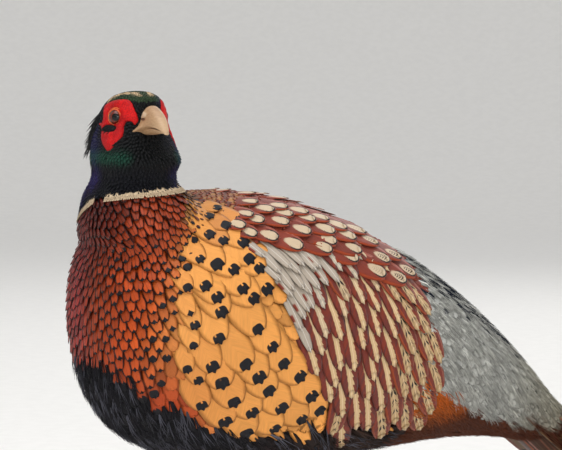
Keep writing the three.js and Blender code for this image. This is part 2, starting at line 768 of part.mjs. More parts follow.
const torsoSpace = torsoForm(GAP);
const eyeSpaces = fuse([eyeBall(1, GAP), eyeBall(-1, GAP)]);
const whole = torsoForm().add(headForm());

const ringAt = new THREE.Vector3(0, RING_CENTRE_Y, RING_HEIGHT);
const ringNormal = new THREE.Vector3(-RING_RISE_LEFT, -RING_RISE_BACK, 1).normalize();
const [aboveRing, belowRing] = part(whole, ringAt, ringNormal);
const throatAt = new THREE.Vector3(0, HEAD_Y, THROAT_HEIGHT);
const [headPart, neckPart] = part(aboveRing, throatAt, new THREE.Vector3(0, 0, 1));

const tailNormal = new THREE.Vector3(0, Math.cos(TAIL_SLOPE), -Math.sin(TAIL_SLOPE));
const tailStart = tailCurve(TAIL_CUT);
const tailAt = new THREE.Vector3(0, tailStart.y, tailStart.z);
const [tailBase, torso] = part(belowRing, tailAt, tailNormal);

const sides = [
  ["left", 1],
  ["right", -1],
];
const locks = sides.flatMap(([, hand]) => Array.from({ length: TUFT.count }, (_, i) => earLock(hand, i)));
addNode("torso", torso, copperPlumage);
addNode("neck", neckPart, greenPlumage);
addNode("head", fuse([headPart, ...locks]).subtract(eyeSpaces), greenPlumage);

const tailFeathers = sides.flatMap(([, hand]) =>
  Array.from({ length: TAIL_PAIRS }, (_, pair) => tailFeather(pair, hand)),
);
const covertFan = (count, facing) =>
  Array.from({ length: count }, (_, i) =>
    tailCovert(facing + TAIL_COVERT.pitch * (i - (count - 1) / 2), 1.2 * (i % 2)),
  );
const tailCoverts = [...covertFan(TAIL_COVERT.above, 0), ...covertFan(TAIL_COVERT.below, Math.PI)];
const stubEnd = tailCurve(TAIL_STUB);
const stubAt = new THREE.Vector3(0, stubEnd.y, stubEnd.z);
const tailStub = tailBase.intersect(sideOf(stubAt, tailNormal.clone().negate()));
addNode("tail", fuse([tailStub, ...tailFeathers, ...tailCoverts]), buffPlumage);

const headSpace = headForm(GAP);
const nostrils = sides.map(([, hand]) => nostrilTool(hand, 0, 0));
const flaps = sides.map(([, hand]) => nostrilTool(hand, 0.9, 1.6));
const upperBill = blob(BILL_AROUND, BILL_ALONG, (angle, share) => upperBillPoint(angle, share));
const billSpace = blob(BILL_AROUND, BILL_ALONG, (angle, share) => upperBillPoint(angle, share, GAP));
const lowerBill = blob(BILL_AROUND, BILL_ALONG, lowerBillPoint);
addNode("bill_upper", fuse([upperBill, ...flaps]).subtract(fuse(nostrils)).subtract(headSpace), hornBill);
addNode("bill_lower", lowerBill.subtract(headSpace), hornBill);

for (const [sideName, hand] of sides) {
  addNode(`eye_${sideName}`, eyeBall(hand), darkEye);
  addNode(`wattle_${sideName}`, wattle(hand, headSpace.add(billSpace)), redSkin);
  addNode(`wing_${sideName}`, wing(hand, torsoSpace), wingPlumage);
  addLeg(sideName, hand, torsoSpace);
}

// The origin is the middle of the box's underside, on the floor.
const box = new THREE.Box3().setFromObject(bird);
const middle = box.getCenter(new THREE.Vector3());
bird.position.set(-middle.x, -middle.y, -box.min.z);

export default bird;
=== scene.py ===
"""A life-size common pheasant: skin, plumage, face, bill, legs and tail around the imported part."""

import math

import bpy
import numpy as np
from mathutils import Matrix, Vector
from mathutils.bvhtree import BVHTree
from mathutils.kdtree import KDTree


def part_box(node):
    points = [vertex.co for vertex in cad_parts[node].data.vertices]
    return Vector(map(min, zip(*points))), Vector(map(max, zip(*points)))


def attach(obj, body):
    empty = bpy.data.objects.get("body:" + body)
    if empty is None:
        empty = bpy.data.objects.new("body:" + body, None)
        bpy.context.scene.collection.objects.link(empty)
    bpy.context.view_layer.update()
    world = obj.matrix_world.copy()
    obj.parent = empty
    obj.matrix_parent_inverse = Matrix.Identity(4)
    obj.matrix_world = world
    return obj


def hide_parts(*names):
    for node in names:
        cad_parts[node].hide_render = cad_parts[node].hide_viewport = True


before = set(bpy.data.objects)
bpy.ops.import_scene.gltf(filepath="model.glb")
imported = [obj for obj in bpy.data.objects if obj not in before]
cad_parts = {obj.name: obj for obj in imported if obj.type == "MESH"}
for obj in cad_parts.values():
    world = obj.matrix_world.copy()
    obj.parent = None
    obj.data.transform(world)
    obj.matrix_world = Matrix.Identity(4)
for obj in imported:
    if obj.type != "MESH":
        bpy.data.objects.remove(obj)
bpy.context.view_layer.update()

bl_info = {
    "name": "Common pheasant",
    "version": (1, 0, 0),
    "blender": (4, 5, 0),
    "location": "3D View > Sidebar > Pheasant",
    "description": "Builds the bird's skin, feathers, face, bill, legs and tail, and its stage",
    "category": "Add Mesh",
}

MM = 0.001
SIDES = ((1, "left"), (-1, "right"))


def rows(text):
    """A table from a text with spaces between its rows and commas between their numbers."""
    return np.array([[float(n) for n in row.split(",")] for row in text.split()])


def read_off(table, at):
    """The second column of a table of two, joined by straight lines, at values of its first."""
    return np.interp(at, *table.T)


# ---- Forms and boundaries
# All places are in millimetres in the part's own axes: the breast faces -Y, the bird's left is +X.

HEAD_SHIFT, HEAD_Y = 6.5, -104.0
PACKED_EYE = np.array([17.5, HEAD_Y + 14.6, 336.5])
EYE_SEAT = np.array([8.4, 15.5, 336.7])  # from the head's middle line
EYE_TURN, GAZE_TURN = math.radians(22), math.radians(48)
low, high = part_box("eye_left")
OFFSET = (np.array(low) + np.array(high)) / 2 - MM * PACKED_EYE

# Place along Y, top, bottom and half width.
TORSO_ROWS = rows(
    """-139,205,205,0 -136.5,240,174,28 -127,262,146,47 -104,277,119,65 -58,287,102,77 0,283,98,80
    50,268,99,77 100,243,104,68 150,210,107,54 195,173,104,37 230,137,98,24 262,107,107,0"""
)
# Height, front, back, half width and middle along Y.
HEAD_ROWS = rows(
    """222,30,-30,28,-84 240,45,-45,41,-87 257,49.5,-49.5,45,-91.5 271,44.5,-44.5,40,-96
    284,37,-37,33,-101.5 291,32,-32,27.5,-103.5 297,31,-29,25.5,-104 302,33,-28,26.3,-104
    307,36,-28,28,-104 312,33,-28,27.4,-104 320,28,-29,25.2,-104 328,26,-30,22,-104
    336,25.5,-27,19.8,-104 343,24,-22,18,-104 349,21,-14,15,-104 352.6,16,-5,9,-104
    354,7,7,0,-104"""
)
# Height, middle along Y and radius.
THIGH_ROWS = rows("146,-6,30 120,2,27.5 103,12,19.5 90,21,12 81,27,8 75,29,0")
TORSO_SQUARENESS, HEAD_SQUARENESS = 2.15, 2.6
LEG_X = 34
COAT_VOXEL = 0.0024

RING_PLACE = np.array([0, -98, 276.0])
BILL_PLACE = np.array([38.0, HEAD_Y, 338])
NECK_REACH, NAPE_Z, THIGH_TOP = 54, 296, 99
SHOULDER_FRONT, SHOULDER_BACK, SHOULDER_LOW = -62, 104, 196
FLANK_TOP, FLANK_BOTTOM = (-36, 246), (18, 120)
# The neck ring's height by degrees round the neck from the bird's left.
RING_LINE = rows(
    """-180,270 -150,266 -119,268 -95,276 -73,282 -54,283.5 -24,286 30,289 60,291.5 90,292
    120,288 150,279 180,270"""
)
# Where the ring is broken for a short way on the right of the breast, in the same degrees.
RING_GAP = (-76, -58)
RING_LAYERS, RING_FEATHERS = 3, 400
# The rear of the wing and the edge between copper and gold: places along Y by height.
WING_REAR = rows("110,104 150,100 203,95 222,86 240,58")
GOLD_EDGE = rows("120,-106 150,-112 184,-109 217,-101 249,-88 278,-66")
# Boundaries as heights by place along Y.
SHOULDER_FOOT = rows("-62,252 -47,253 6,243 39,237 60,229 91,207")
GREY_FOOT = rows("-50,160 -9,165 -6,186 2,203 11,217 27,227 50,240 60,262")
BELLY_TOP = rows("-139,169 -122,152 -112,142 -80,126 -30,115 30,113 90,116 140,118")
VENT_TOP = rows("90,146 110,140 150,122 190,112 230,104 262,102")
RUMP_RIDGE = rows("80,226 150,192 200,160")
# How steeply the wing's feathers hang, in degrees, by place along Y.
WING_STEEP = rows("-40,52 0,63 30,71 70,65 100,57")
# Half the width of the bill's base by height.
JAW_HALF = rows("321,8 327,10 333,6 342,4")

# Where the tips of the spotted flank feathers and of the drop-marked shoulder feathers lie,
# as places along Y and heights on the side of the body.
FLANK_TIPS = rows(
    """-47,269 -58,276 -67,271 -58,265 -72,259 -64,255 -50,253 -83,244 -72,239 -61,236 -49,242
    -43,236 -94,226 -82,226 -57,223 -39,222 -49,217 -75,218 -73,208 -94,210 -91,201 -75,191 -92,188
    -48,196 -37,184 -28,172 -55,173 -78,172 -45,163 -14,163 -36,154 -3,148 -71,160 -60,147 -95,172
    -87,164 -81,146 -62,133 -45,139 -44,124 -24,141 -24,127 -6,133 6,138"""
)
SHOULDER_TIPS = rows(
    """-28,278 -20,274 -38,271 -32,267 -42,259 -28,256 -49,264 -13,265 -7,271 -6,276 -10,251 1,259
    10,267 9,272 22,260 18,253 13,247 24,267 37,261 39,255 38,245 32,241 54,257 60,250 62,238
    78,240 86,228 72,224 55,230"""
)

# The outline of the bare red skin on the side of the head, in order round it, as degrees round
# the head from the bill and heights.
FACE_OUTLINE = rows(
    """114,344.6 94,346.9 69,348.5 51.5,348.9 36,348.7 28,346.5 24.8,343.2 21.5,340 19,335.6
    19.6,333.2 22.7,331.5 27,331.8 29,333.2 33,333.9 38.3,333.9 41.5,331.7 41.8,328.4 43.5,324.1
    47.6,320.8 53.3,318.6 56,315.8 61,314.2 66,314.6 76.7,317.8 84.8,320.5 91,323.7 95.5,327
    102,329.7 114,331.2 115,332.8 103,333.2 104.4,336.9 111,340.7"""
)
GIRTH = 22.0
FACE_GRID = 0.5
# The dark patch under the eye: its middle on the face, and half its size.
CHEEK_PATCH, CHEEK_HOLLOW, CHEEK_REACH = (27.8, 329.2), (7.6, 2.8), (6.4, 2.1)
CHEEK_FEATHERS, EAR_FEATHERS = 300, 210
# The lids, from the eye outwards: radius, thickness and place ahead of the eye's middle.
LIDS = ((5.2, 0.55, 3.2), (6.2, 0.5, 2.2))

# Both jaws: place along X from the head's middle, top, bottom, half width, and how far the corner
# of the mouth stands out.
UPPER_BILL = rows(
    """14,332,324,5.6,10.6 18,336,324,5.8,10.6 22,341.6,324.3,6,9.6 25,343.6,325.8,6.1,6.8
    28.5,344.4,327.8,6.2,3.8 32,343.6,329.2,6.1,1.4 37,340.9,329.7,5.6,0.2 42,336.9,329,4.5,0
    46,332,327.5,3,0 48.4,328.2,325.5,1.6,0 49,326.4,325.4,0.5,0"""
)
LOWER_BILL = rows(
    """14,328,324.4,8.2,0 20,328.2,324.6,7.4,0 28,329.2,325,5.8,0 35,329.8,325.6,4.6,0
    41,328.8,326,3.2,0 45,327.4,326.2,1.4,0 46,326.6,326.2,0.4,0"""
)
NOSTRIL = (27.4, 6.1, 335.4)

TAIL_ROOT = (178.0, 164.0)
TAIL_SLOPE = math.radians(42)
TAIL_STRAIGHT, TAIL_BEND = 60.0, 345.2
TAIL_PAIRS, TAIL_LENGTH = 9, 478.0


# ---- Sizes and colours


def tone(red, green, blue):
    """A colour as light, from its red, green and blue on a screen."""
    part = np.array([red, green, blue], float) / 255
    return np.where(part <= 0.04045, part / 12.92, ((part + 0.055) / 1.055) ** 2.4)


def size_setting(name, default, description):
    return bpy.props.FloatProperty(
        name=name, default=default, description=description, unit="LENGTH", precision=4
    )


def colour_setting(name, default, description):
    default = tuple(default)
    return bpy.props.FloatVectorProperty(
        name=name, default=default, description=description, subtype="COLOR", min=0, max=1
    )


class PheasantSizes(bpy.types.PropertyGroup):
    skin_depth: size_setting("Skin depth", 0.003, "How deep the skin lies under the body's coat")
    eye_radius: size_setting("Eye", 0.0058, "Radius of the eyeball")
    breast_feather: size_setting("Breast feather", 0.0135, "Length of a breast feather")
    flank_feather: size_setting("Flank feather", 0.044, "Length of a spotted flank feather")
    camera_distance: size_setting("Camera distance", 2.2, "From the camera to the bird")


class PheasantColours(bpy.types.PropertyGroup):
    maroon: colour_setting("Breast", tone(122, 39, 18), "Breast below the neck ring")
    copper: colour_setting("Lower breast", tone(182, 72, 22), "Breast towards the flank")
    gold: colour_setting("Flank", tone(224, 152, 76), "Flank feathers")
    night: colour_setting("Belly", tone(20, 19, 24), "Belly and the marks of the breast")
    neck: colour_setting("Neck", tone(12, 13, 20), "Gloss of the neck")
    # the cheek colour is a painted green sheen, laid in a band on the sides of the head
    cheek: colour_setting("Cheek", tone(18, 66, 50), "Gloss of the cheek")
    brow: colour_setting("Brow and ring", tone(226, 200, 166), "Pale brow and neck ring")
    chestnut: colour_setting("Shoulder", tone(122, 46, 29), "Shoulder and wing feathers")
    slate: colour_setting("Wing coverts", tone(170, 157, 142), "Grey coverts of the wing")
    rump: colour_setting("Rump", tone(178, 178, 172), "Grey of the rump")
    rufous: colour_setting("Under the rump", tone(206, 104, 34), "Fringe below the rump")
    tail: colour_setting("Tail", tone(168, 134, 92), "Ground of the tail feathers")
    face: colour_setting("Face skin", tone(214, 18, 18), "Bare red skin of the face")
    bill: colour_setting("Bill", tone(174, 139, 103), "Horn of the bill")
    leg: colour_setting("Legs", tone(122, 116, 108), "Scales of the legs")


def sizes():
    return bpy.context.scene.pheasant_sizes


def colour(name):
    return np.array(getattr(bpy.context.scene.pheasant_colours, name))


# ---- Curves and solids


def step(value, start, end):
    t = np.clip((value - start) / (end - start), 0, 1)
    return t * t * (3 - 2 * t)


def unit(way):
    return way / np.maximum(np.linalg.norm(way, axis=-1, keepdims=True), 1e-9)


def laid_flat(way, normal):
    """The way turned so that it runs along the surface."""
    return unit(way - (way * normal).sum(1, keepdims=True) * normal)


def through(a, b, c, d, t):
    """A smooth curve from b to c, with a before and d after them."""
    return b + 0.5 * t * (c - a + t * ((2 * a - 5 * b + 4 * c - d) + t * (3 * b - a - 3 * c + d)))


def smooth_rows(table, share, before=None, after=None):
    """The rows of a table joined by a smooth curve, at each share of it from 0 to 1."""
    before = table[0] if before is None else before
    after = table[-1] if after is None else after
    place = np.clip(share, 0, 1) * (len(table) - 1)
    i = np.minimum(place.astype(int), len(table) - 2)
    padded = np.vstack([before, table, after])
    return through(*(padded[i + k] for k in range(4)), (place - i)[:, None])


def signed_power(value, power):
    return np.sign(value) * np.abs(value) ** power


def torso_points(angle, share):
    # beyond each end the form turns back on itself, so that the ends are round
    before, after = (TORSO_ROWS[k, [0, 2, 1, 3]] * [1, 1, 1, -1] for k in (1, -2))
    y, top, bottom, half = smooth_rows(TORSO_ROWS, share, before, after).T
    power = 2 / TORSO_SQUARENESS
    x = half * signed_power(np.cos(angle), power)
    z = (top + bottom) / 2 + (top - bottom) / 2 * signed_power(np.sin(angle), power)
    return np.stack([x, y, z], 1)


def head_points(angle, share):
    z, front, back, half, y = smooth_rows(HEAD_ROWS, share).T
    power = 2 / HEAD_SQUARENESS
    x = HEAD_SHIFT + (front + back) / 2 + (front - back) / 2 * signed_power(np.cos(angle), power)
    return np.stack([x, y + half * signed_power(np.sin(angle), power), z], 1)


def thigh_points(hand):
    def points(angle, share):
        z, y, radius = smooth_rows(THIGH_ROWS, share).T
        radius = np.where(share <= 0, 0, radius)
        x = hand * LEG_X + radius * np.cos(angle)
        return np.stack([x, y + radius * np.sin(angle), z], 1)

    return points


def tube(points, around, along):
    """A closed tube of quads whose ends meet in points."""
    turns = np.arange(around) * 2 * math.pi / around
    angle, share = np.meshgrid(turns, np.linspace(0, 1, along + 1))
    faces = []
    for row in range(along):
        for k in range(around):
            a, b = row * around + k, row * around + (k + 1) % around
            faces.append((a, b, b + around, a + around))
    return points(angle.ravel(), share.ravel()), faces


# ---- Meshes


def place_in_world(verts):
    return np.asarray(verts) * MM + OFFSET


def add_mesh(name, verts, faces):
    mesh = bpy.data.meshes.new(name)
    mesh.from_pydata(verts, [], faces)
    mesh.update()
    piece = bpy.data.objects.new(name, mesh)
    bpy.context.scene.collection.objects.link(piece)
    return piece


def mesh_object(name, verts, faces):
    return add_mesh(name, place_in_world(verts).tolist(), faces)


def mesh_copy(source, name):
    piece = source.copy()
    piece.data = source.data.copy()
    piece.name = piece.data.name = name
    bpy.context.scene.collection.objects.link(piece)
    return piece


def numbers(items, key, each=3, kind=np.float32):
    found = np.empty(len(items) * each, kind)
    items.foreach_get(key, found)
    return found.reshape(-1, each)


def set_attribute(piece, name, values):
    """Gives each point of a piece three numbers for its material."""
    layer = piece.data.attributes.new(name, "FLOAT_VECTOR", "POINT")
    layer.data.foreach_set("vector", np.asarray(values, np.float32).ravel())


def choose(*pieces):
    """Selects only these objects, the last one active."""
    bpy.ops.object.select_all(action="DESELECT")
    for piece in pieces:
        piece.select_set(True)
        bpy.context.view_layer.objects.active = piece


def joined(pieces):
    choose(*pieces)
    bpy.ops.object.join()
    return bpy.context.view_layer.objects.active


def modify(piece, kind, **values):
    modifier = piece.modifiers.new(kind.title(), kind)
    for key, value in values.items():
        setattr(modifier, key, value)
    choose(piece)
    bpy.ops.object.modifier_apply(modifier=modifier.name)


def outward(piece):
    choose(piece)
    bpy.ops.object.mode_set(mode="EDIT")
    bpy.ops.mesh.select_all(action="SELECT")
    bpy.ops.mesh.remove_doubles(threshold=0.00001)
    bpy.ops.mesh.normals_make_consistent(inside=False)
    bpy.ops.object.mode_set(mode="OBJECT")


def hand_in(piece, slot, nodes, material):
    """Shades a finished piece smooth, gives it its finish, parents it to the root and hides the
    nodes that it stands for; slot is not used.
    """
    choose(piece)
    bpy.ops.object.shade_smooth()
    piece.data.materials.clear()
    piece.data.materials.append(material)
    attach(piece, "root")
    if nodes:
        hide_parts(*nodes)


class Coat:
    """The outer surface of the bird's coat, on which the feathers are laid."""

    def __init__(self):
        forms = [tube(torso_points, 96, 120), tube(head_points, 72, 90)]
        forms += [tube(thigh_points(hand), 32, 24) for hand, _ in SIDES]
        pieces = [mesh_object("form", *form) for form in forms]
        for piece in pieces:
            outward(piece)
        self.piece = joined(pieces)
        modify(self.piece, "REMESH", mode="VOXEL", voxel_size=COAT_VOXEL)
        modify(self.piece, "SMOOTH", factor=0.5, iterations=5)
        mesh = self.piece.data
        mesh.calc_loop_triangles()
        self.verts = (numbers(mesh.vertices, "co").astype(float) - OFFSET) / MM
        self.normals = numbers(mesh.vertex_normals, "vector").astype(float)
        self.tris = numbers(mesh.loop_triangles, "vertices", kind=np.int32)
        self.tree = BVHTree.FromPolygons(self.verts.tolist(), self.tris.tolist())

    def nearest(self, points):
        """The nearest places of the coat and the way that it faces there."""
        spots = np.empty((len(points), 3))
        index = np.empty(len(points), int)
        for i, point in enumerate(points.tolist()):
            spots[i], _, index[i], _ = self.tree.find_nearest(point)
        corner = self.tris[index]
        away = np.linalg.norm(self.verts[corner] - spots[:, None], axis=2) + 0.3
        return spots, unit((self.normals[corner] * (1 / away)[:, :, None]).sum(1))

    def met(self, starts, ways):
        """Where lines first meet the coat, and nan where one doesn't."""
        found = []
        for start, way in zip(starts, np.broadcast_to(ways, starts.shape)):
            spot = self.tree.ray_cast(Vector(start), Vector(way))[0]
            found.append((math.nan,) * 3 if spot is None else tuple(spot))
        return np.array(found)

    def sprinkle(self, rng, count):
        a, b, c = (self.verts[self.tris[:, k]] for k in range(3))
        area = np.linalg.norm(np.cross(b - a, c - a), axis=1)
        face = rng.choice(len(area), count, p=area / area.sum())
        u, v = rng.random((2, count))
        fold = u + v > 1
        u[fold], v[fold] = 1 - u[fold], 1 - v[fold]
        return a[face] + u[:, None] * (b - a)[face] + v[:, None] * (c - a)[face]

    def scatter(self, rng, spacing, rounds=7, tries=330000, cell=12.0):
        """Places spread evenly, spacing(places) apart, and none where it is 0."""
        points = self.sprinkle(rng, tries)
        apart = spacing(points)
        points, apart = points[apart > 0], apart[apart > 0]
        cells, kept, around = {}, [], (-1, 0, 1)
        for index, (point, gap) in enumerate(zip(points.tolist(), (apart * 0.8).tolist())):
            x, y, z = point
            i, j, k = int(x // cell), int(y // cell), int(z // cell)
            near = (
                other
                for di in around
                for dj in around
                for dk in around
                for other in cells.get((i + di, j + dj, k + dk), ())
            )
            if all((a - x) ** 2 + (b - y) ** 2 + (c - z) ** 2 >= gap * gap for a, b, c in near):
                cells.setdefault((i, j, k), []).append(point)
                kept.append(index)
        points, apart = points[kept], apart[kept]
        for _ in range(rounds):
            tree = KDTree(len(points))
            for index, point in enumerate(points):
                tree.insert(point, index)
            tree.balance()
            near = np.array([[n[1] for n in tree.find_n(p, 7)][1:] for p in points])
            away = points[:, None] - points[near]
            distance = np.linalg.norm(away, axis=2) + 1e-6
            push = np.clip(apart[:, None] * 1.12 - distance, 0, None) / distance
            points, _ = self.nearest(points + 0.3 * (away * push[:, :, None]).sum(1))
        return points, spacing(points)


# ---- Regions of the plumage


def ring_height(p):
    """How far above the neck ring each place is."""
    turn = np.degrees(np.arctan2(p[:, 1] - RING_PLACE[1], p[:, 0]))
    return p[:, 2] - read_off(RING_LINE, turn)


def flank_edge(z):
    share = (FLANK_TOP[1] - z) / (FLANK_TOP[1] - FLANK_BOTTOM[1])
    return FLANK_TOP[0] + share * (FLANK_BOTTOM[0] - FLANK_TOP[0])


class Zones:
    """Which part of the plumage each place belongs to; gold is 0 on the breast, 1 on the flank."""

    def __init__(self, p):
        x, y, z = p.T
        rear = read_off(WING_REAR, z)
        self.p = p
        self.gold = step(y - read_off(GOLD_EDGE, z), -20, 24)
        upper = (ring_height(p) > 0) & (np.hypot(x, y - RING_PLACE[1]) < NECK_REACH)
        shoulder = (y > SHOULDER_FRONT) & (y < SHOULDER_BACK) & (z > SHOULDER_LOW)
        shoulder &= (z > read_off(SHOULDER_FOOT, y)) & ~upper
        wing = (y > flank_edge(z) + 3) & (y < rear - 8) & (z > 116) & (np.abs(x) > 20)
        wing &= ~shoulder & ~upper
        rump = (y > rear - 12) & ~(upper | shoulder | wing)
        self.upper, self.shoulder, self.wing, self.rump = upper, shoulder, wing, rump
        self.head = upper & (z > NAPE_Z)
        self.thigh = (z < THIGH_TOP) & ~upper
        self.vent = rump & (z < read_off(VENT_TOP, y))
        self.belly = (z < read_off(BELLY_TOP, y)) & ~(upper | rump | wing)
        self.breast = ~(upper | shoulder | wing | rump | self.belly | self.thigh)
        front = self.breast & (y > -92) & (z > 262) & (self.gold > 0.02)
        self.mantle = front | shoulder & (y < -26) & (z > 270)


def neck_side(p):
    """0 at the front and the back of the neck to 1 on its sides, where the sheen is painted."""
    turn = np.abs(np.degrees(np.arctan2(p[:, 1] - HEAD_Y, p[:, 0] - HEAD_SHIFT)) + 30)
    return step(turn, 42, 78) * (1 - step(turn, 92, 122))


def mix(first, second, share):
    share = np.clip(share, 0, 1)[:, None]
    return first * (1 - share) + second * share


def ground_colour(p, rng):
    """The colour of skin and coat alike at each place, painted sheen and shade included."""
    zones = Zones(p)
    x, y, z = p.T
    vary = rng.normal(0, 1, len(p))[:, None]
    below = -ring_height(p)

    lower = step(y + 0.35 * x, -138, -96) * 0.6 + 0.4 * step(below, 10, 95)
    out = mix(colour("maroon"), colour("copper"), lower)
    # painted sheen: a paler, pinker breast on the front of the bird's right side
    out = mix(out, tone(150, 52, 50), 0.9 * step(-x, -16, 14) * step(-y, 60, 120))
    # painted shade: darker just below the neck ring, on all but the bird's left side
    out = mix(out, tone(84, 25, 18), 0.85 * (1 - step(below, 6, 62)) * (1 - step(x, 26, 64)))
    out = mix(out, colour("gold"), zones.gold**1.15)
    out = mix(out, tone(166, 62, 24), step(-z, -190, -140) * (1 - step(y, -92, -34)))

    def lay(mask, first, second=None, share=None):
        colours = first if second is None else mix(first, second, share)
        out[mask] = np.broadcast_to(colours, out.shape)[mask]

    lay(zones.belly, colour("night"), tone(44, 30, 24), step(y, -60, 60))
    streaks = 0.6 + 0.6 * np.sin(2.3 * x + 0.9 * y)
    lay(zones.mantle, colour("gold") * 0.5, tone(92, 38, 22), streaks)
    lay(zones.shoulder & ~zones.mantle, colour("chestnut"))
    lay(zones.wing, colour("chestnut") * 0.8)
    lay(zones.rump, colour("rump"), tone(150, 146, 130), step(y, 165, 240))
    darker = step(y, 125, 165) + step(-z, -134, -114)
    lay(zones.vent, colour("rufous"), tone(92, 46, 24), darker)
    lay(zones.thigh, tone(48, 36, 30))
    # painted sheen: violet on the sides of the neck just above the ring, and green in a band on the
    # sides of the head
    violet_sheen = mix(tone(38, 32, 86), tone(48, 26, 62), 0.5 + 0.5 * np.sin(0.5 * x + 0.3 * z))
    glossy = 0.75 * neck_side(p) * step(-z, -312, -300) * step(-below, 1, 12)
    green = np.exp(-(((z - 308) / 4.6) ** 2)) * step(np.abs(y - HEAD_Y), 14, 22)
    head = mix(tone(13, 14, 16), colour("cheek"), 0.9 * green)
    lay(zones.upper, mix(colour("neck"), violet_sheen, glossy), head, step(z, NAPE_Z, NAPE_Z + 10))
    backwards = step(-(x - HEAD_SHIFT), -6, 16)
    lay(zones.head & (z > 347.5), tone(44, 62, 40), tone(110, 92, 60), backwards)
    return out * np.clip(1 + 0.07 * vary, 0.7, 1.3)


def skin_depth(p):
    """How deep the skin lies under the coat, less where the feathers are short."""
    zones = Zones(p)
    depth = np.full(len(p), sizes().skin_depth / MM)
    for mask, value in ((zones.upper, 2.0), (zones.head, 1.3), (zones.wing, 5.5)):
        depth[mask] = value
    return depth


def lie(p, normal):
    """The way the feathers lie at each place of the coat."""
    zones = Zones(p)
    rump = step(p[:, 1], 80, 130)[:, None]
    way = unit(unit(p - RING_PLACE) * (1 - rump) + np.array([0, 0.62, -0.78]) * rump)
    down = np.array([0, 0, -1.0]) + 0.25 * unit((p - RING_PLACE) * [1, 1, 0])
    share = step(p[:, 2], 300, 326)[:, None]
    upper = unit(unit(p - BILL_PLACE) * share + down * (1 - share))
    way = np.where(zones.upper[:, None], upper, way)
    way[zones.thigh] = 0, 0.3, -0.95
    return laid_flat(way, normal)


def turned(rng, ways, spread):
    return unit(ways + rng.normal(0, spread, ways.shape))


def varied(rng, colours, least, most):
    """The same colours, each row made darker or lighter at random."""
    return colours * rng.uniform(least, most, len(colours))[:, None]


# ---- Feathers as meshes

PATCH = 0.003
VANE_ROWS = {
    "fine": (np.array([0, 0.45, 0.78, 0.95, 1.0]), 3),
    "small": (np.array([0, 0.35, 0.62, 0.82, 0.94, 1.0]), 5),
    "large": (np.array([0, 0.2, 0.4, 0.55, 0.68, 0.79, 0.88, 0.95, 1.0]), 7),
}


def blade(along, pointed, root=0.5):
    """Half the width of a vane along its length: narrow root, full blade, round or pointed tip."""
    body = root + (1 - root) * step(along, 0, 0.4)
    tip = np.sqrt(np.clip(1 - (np.clip(along - pointed, 0, 1) / (1 - pointed)) ** 2, 0, 1))
    return body * np.maximum(tip, 0.16)


def bake_places(roots):
    """Each root's place on an unwrap: the body as a cylinder along Y, the head as one along Z."""
    x, y, z = roots.T
    head = ring_height(roots) > 0
    turn = np.where(head, np.arctan2(y - HEAD_Y, x - HEAD_SHIFT), np.arctan2(x, z - 190))
    up_head = 0.66 + 0.33 * np.clip((z - 222) / 134, 0, 1)
    down_body = 0.02 + 0.6 * np.clip((y + 142) / 420, 0, 1)
    u = 0.004 + 0.992 * (turn / (2 * math.pi) + 0.5)
    return np.stack([u, np.where(head, up_head, down_body)], 1)


def prism_faces(height, columns):
    """The faces of a grid of points closed by one strip behind it and one face at each end."""
    faces = []
    for row in range(height - 1):
        left, right = row * columns, row * columns + columns - 1
        faces += [(a, a + 1, a + columns + 1, a + columns) for a in range(left, right)]
        faces.append((left, left + columns, right + columns, right))
    last = (height - 1) * columns
    return faces, [range(columns - 1, -1, -1), range(last, last + columns)]


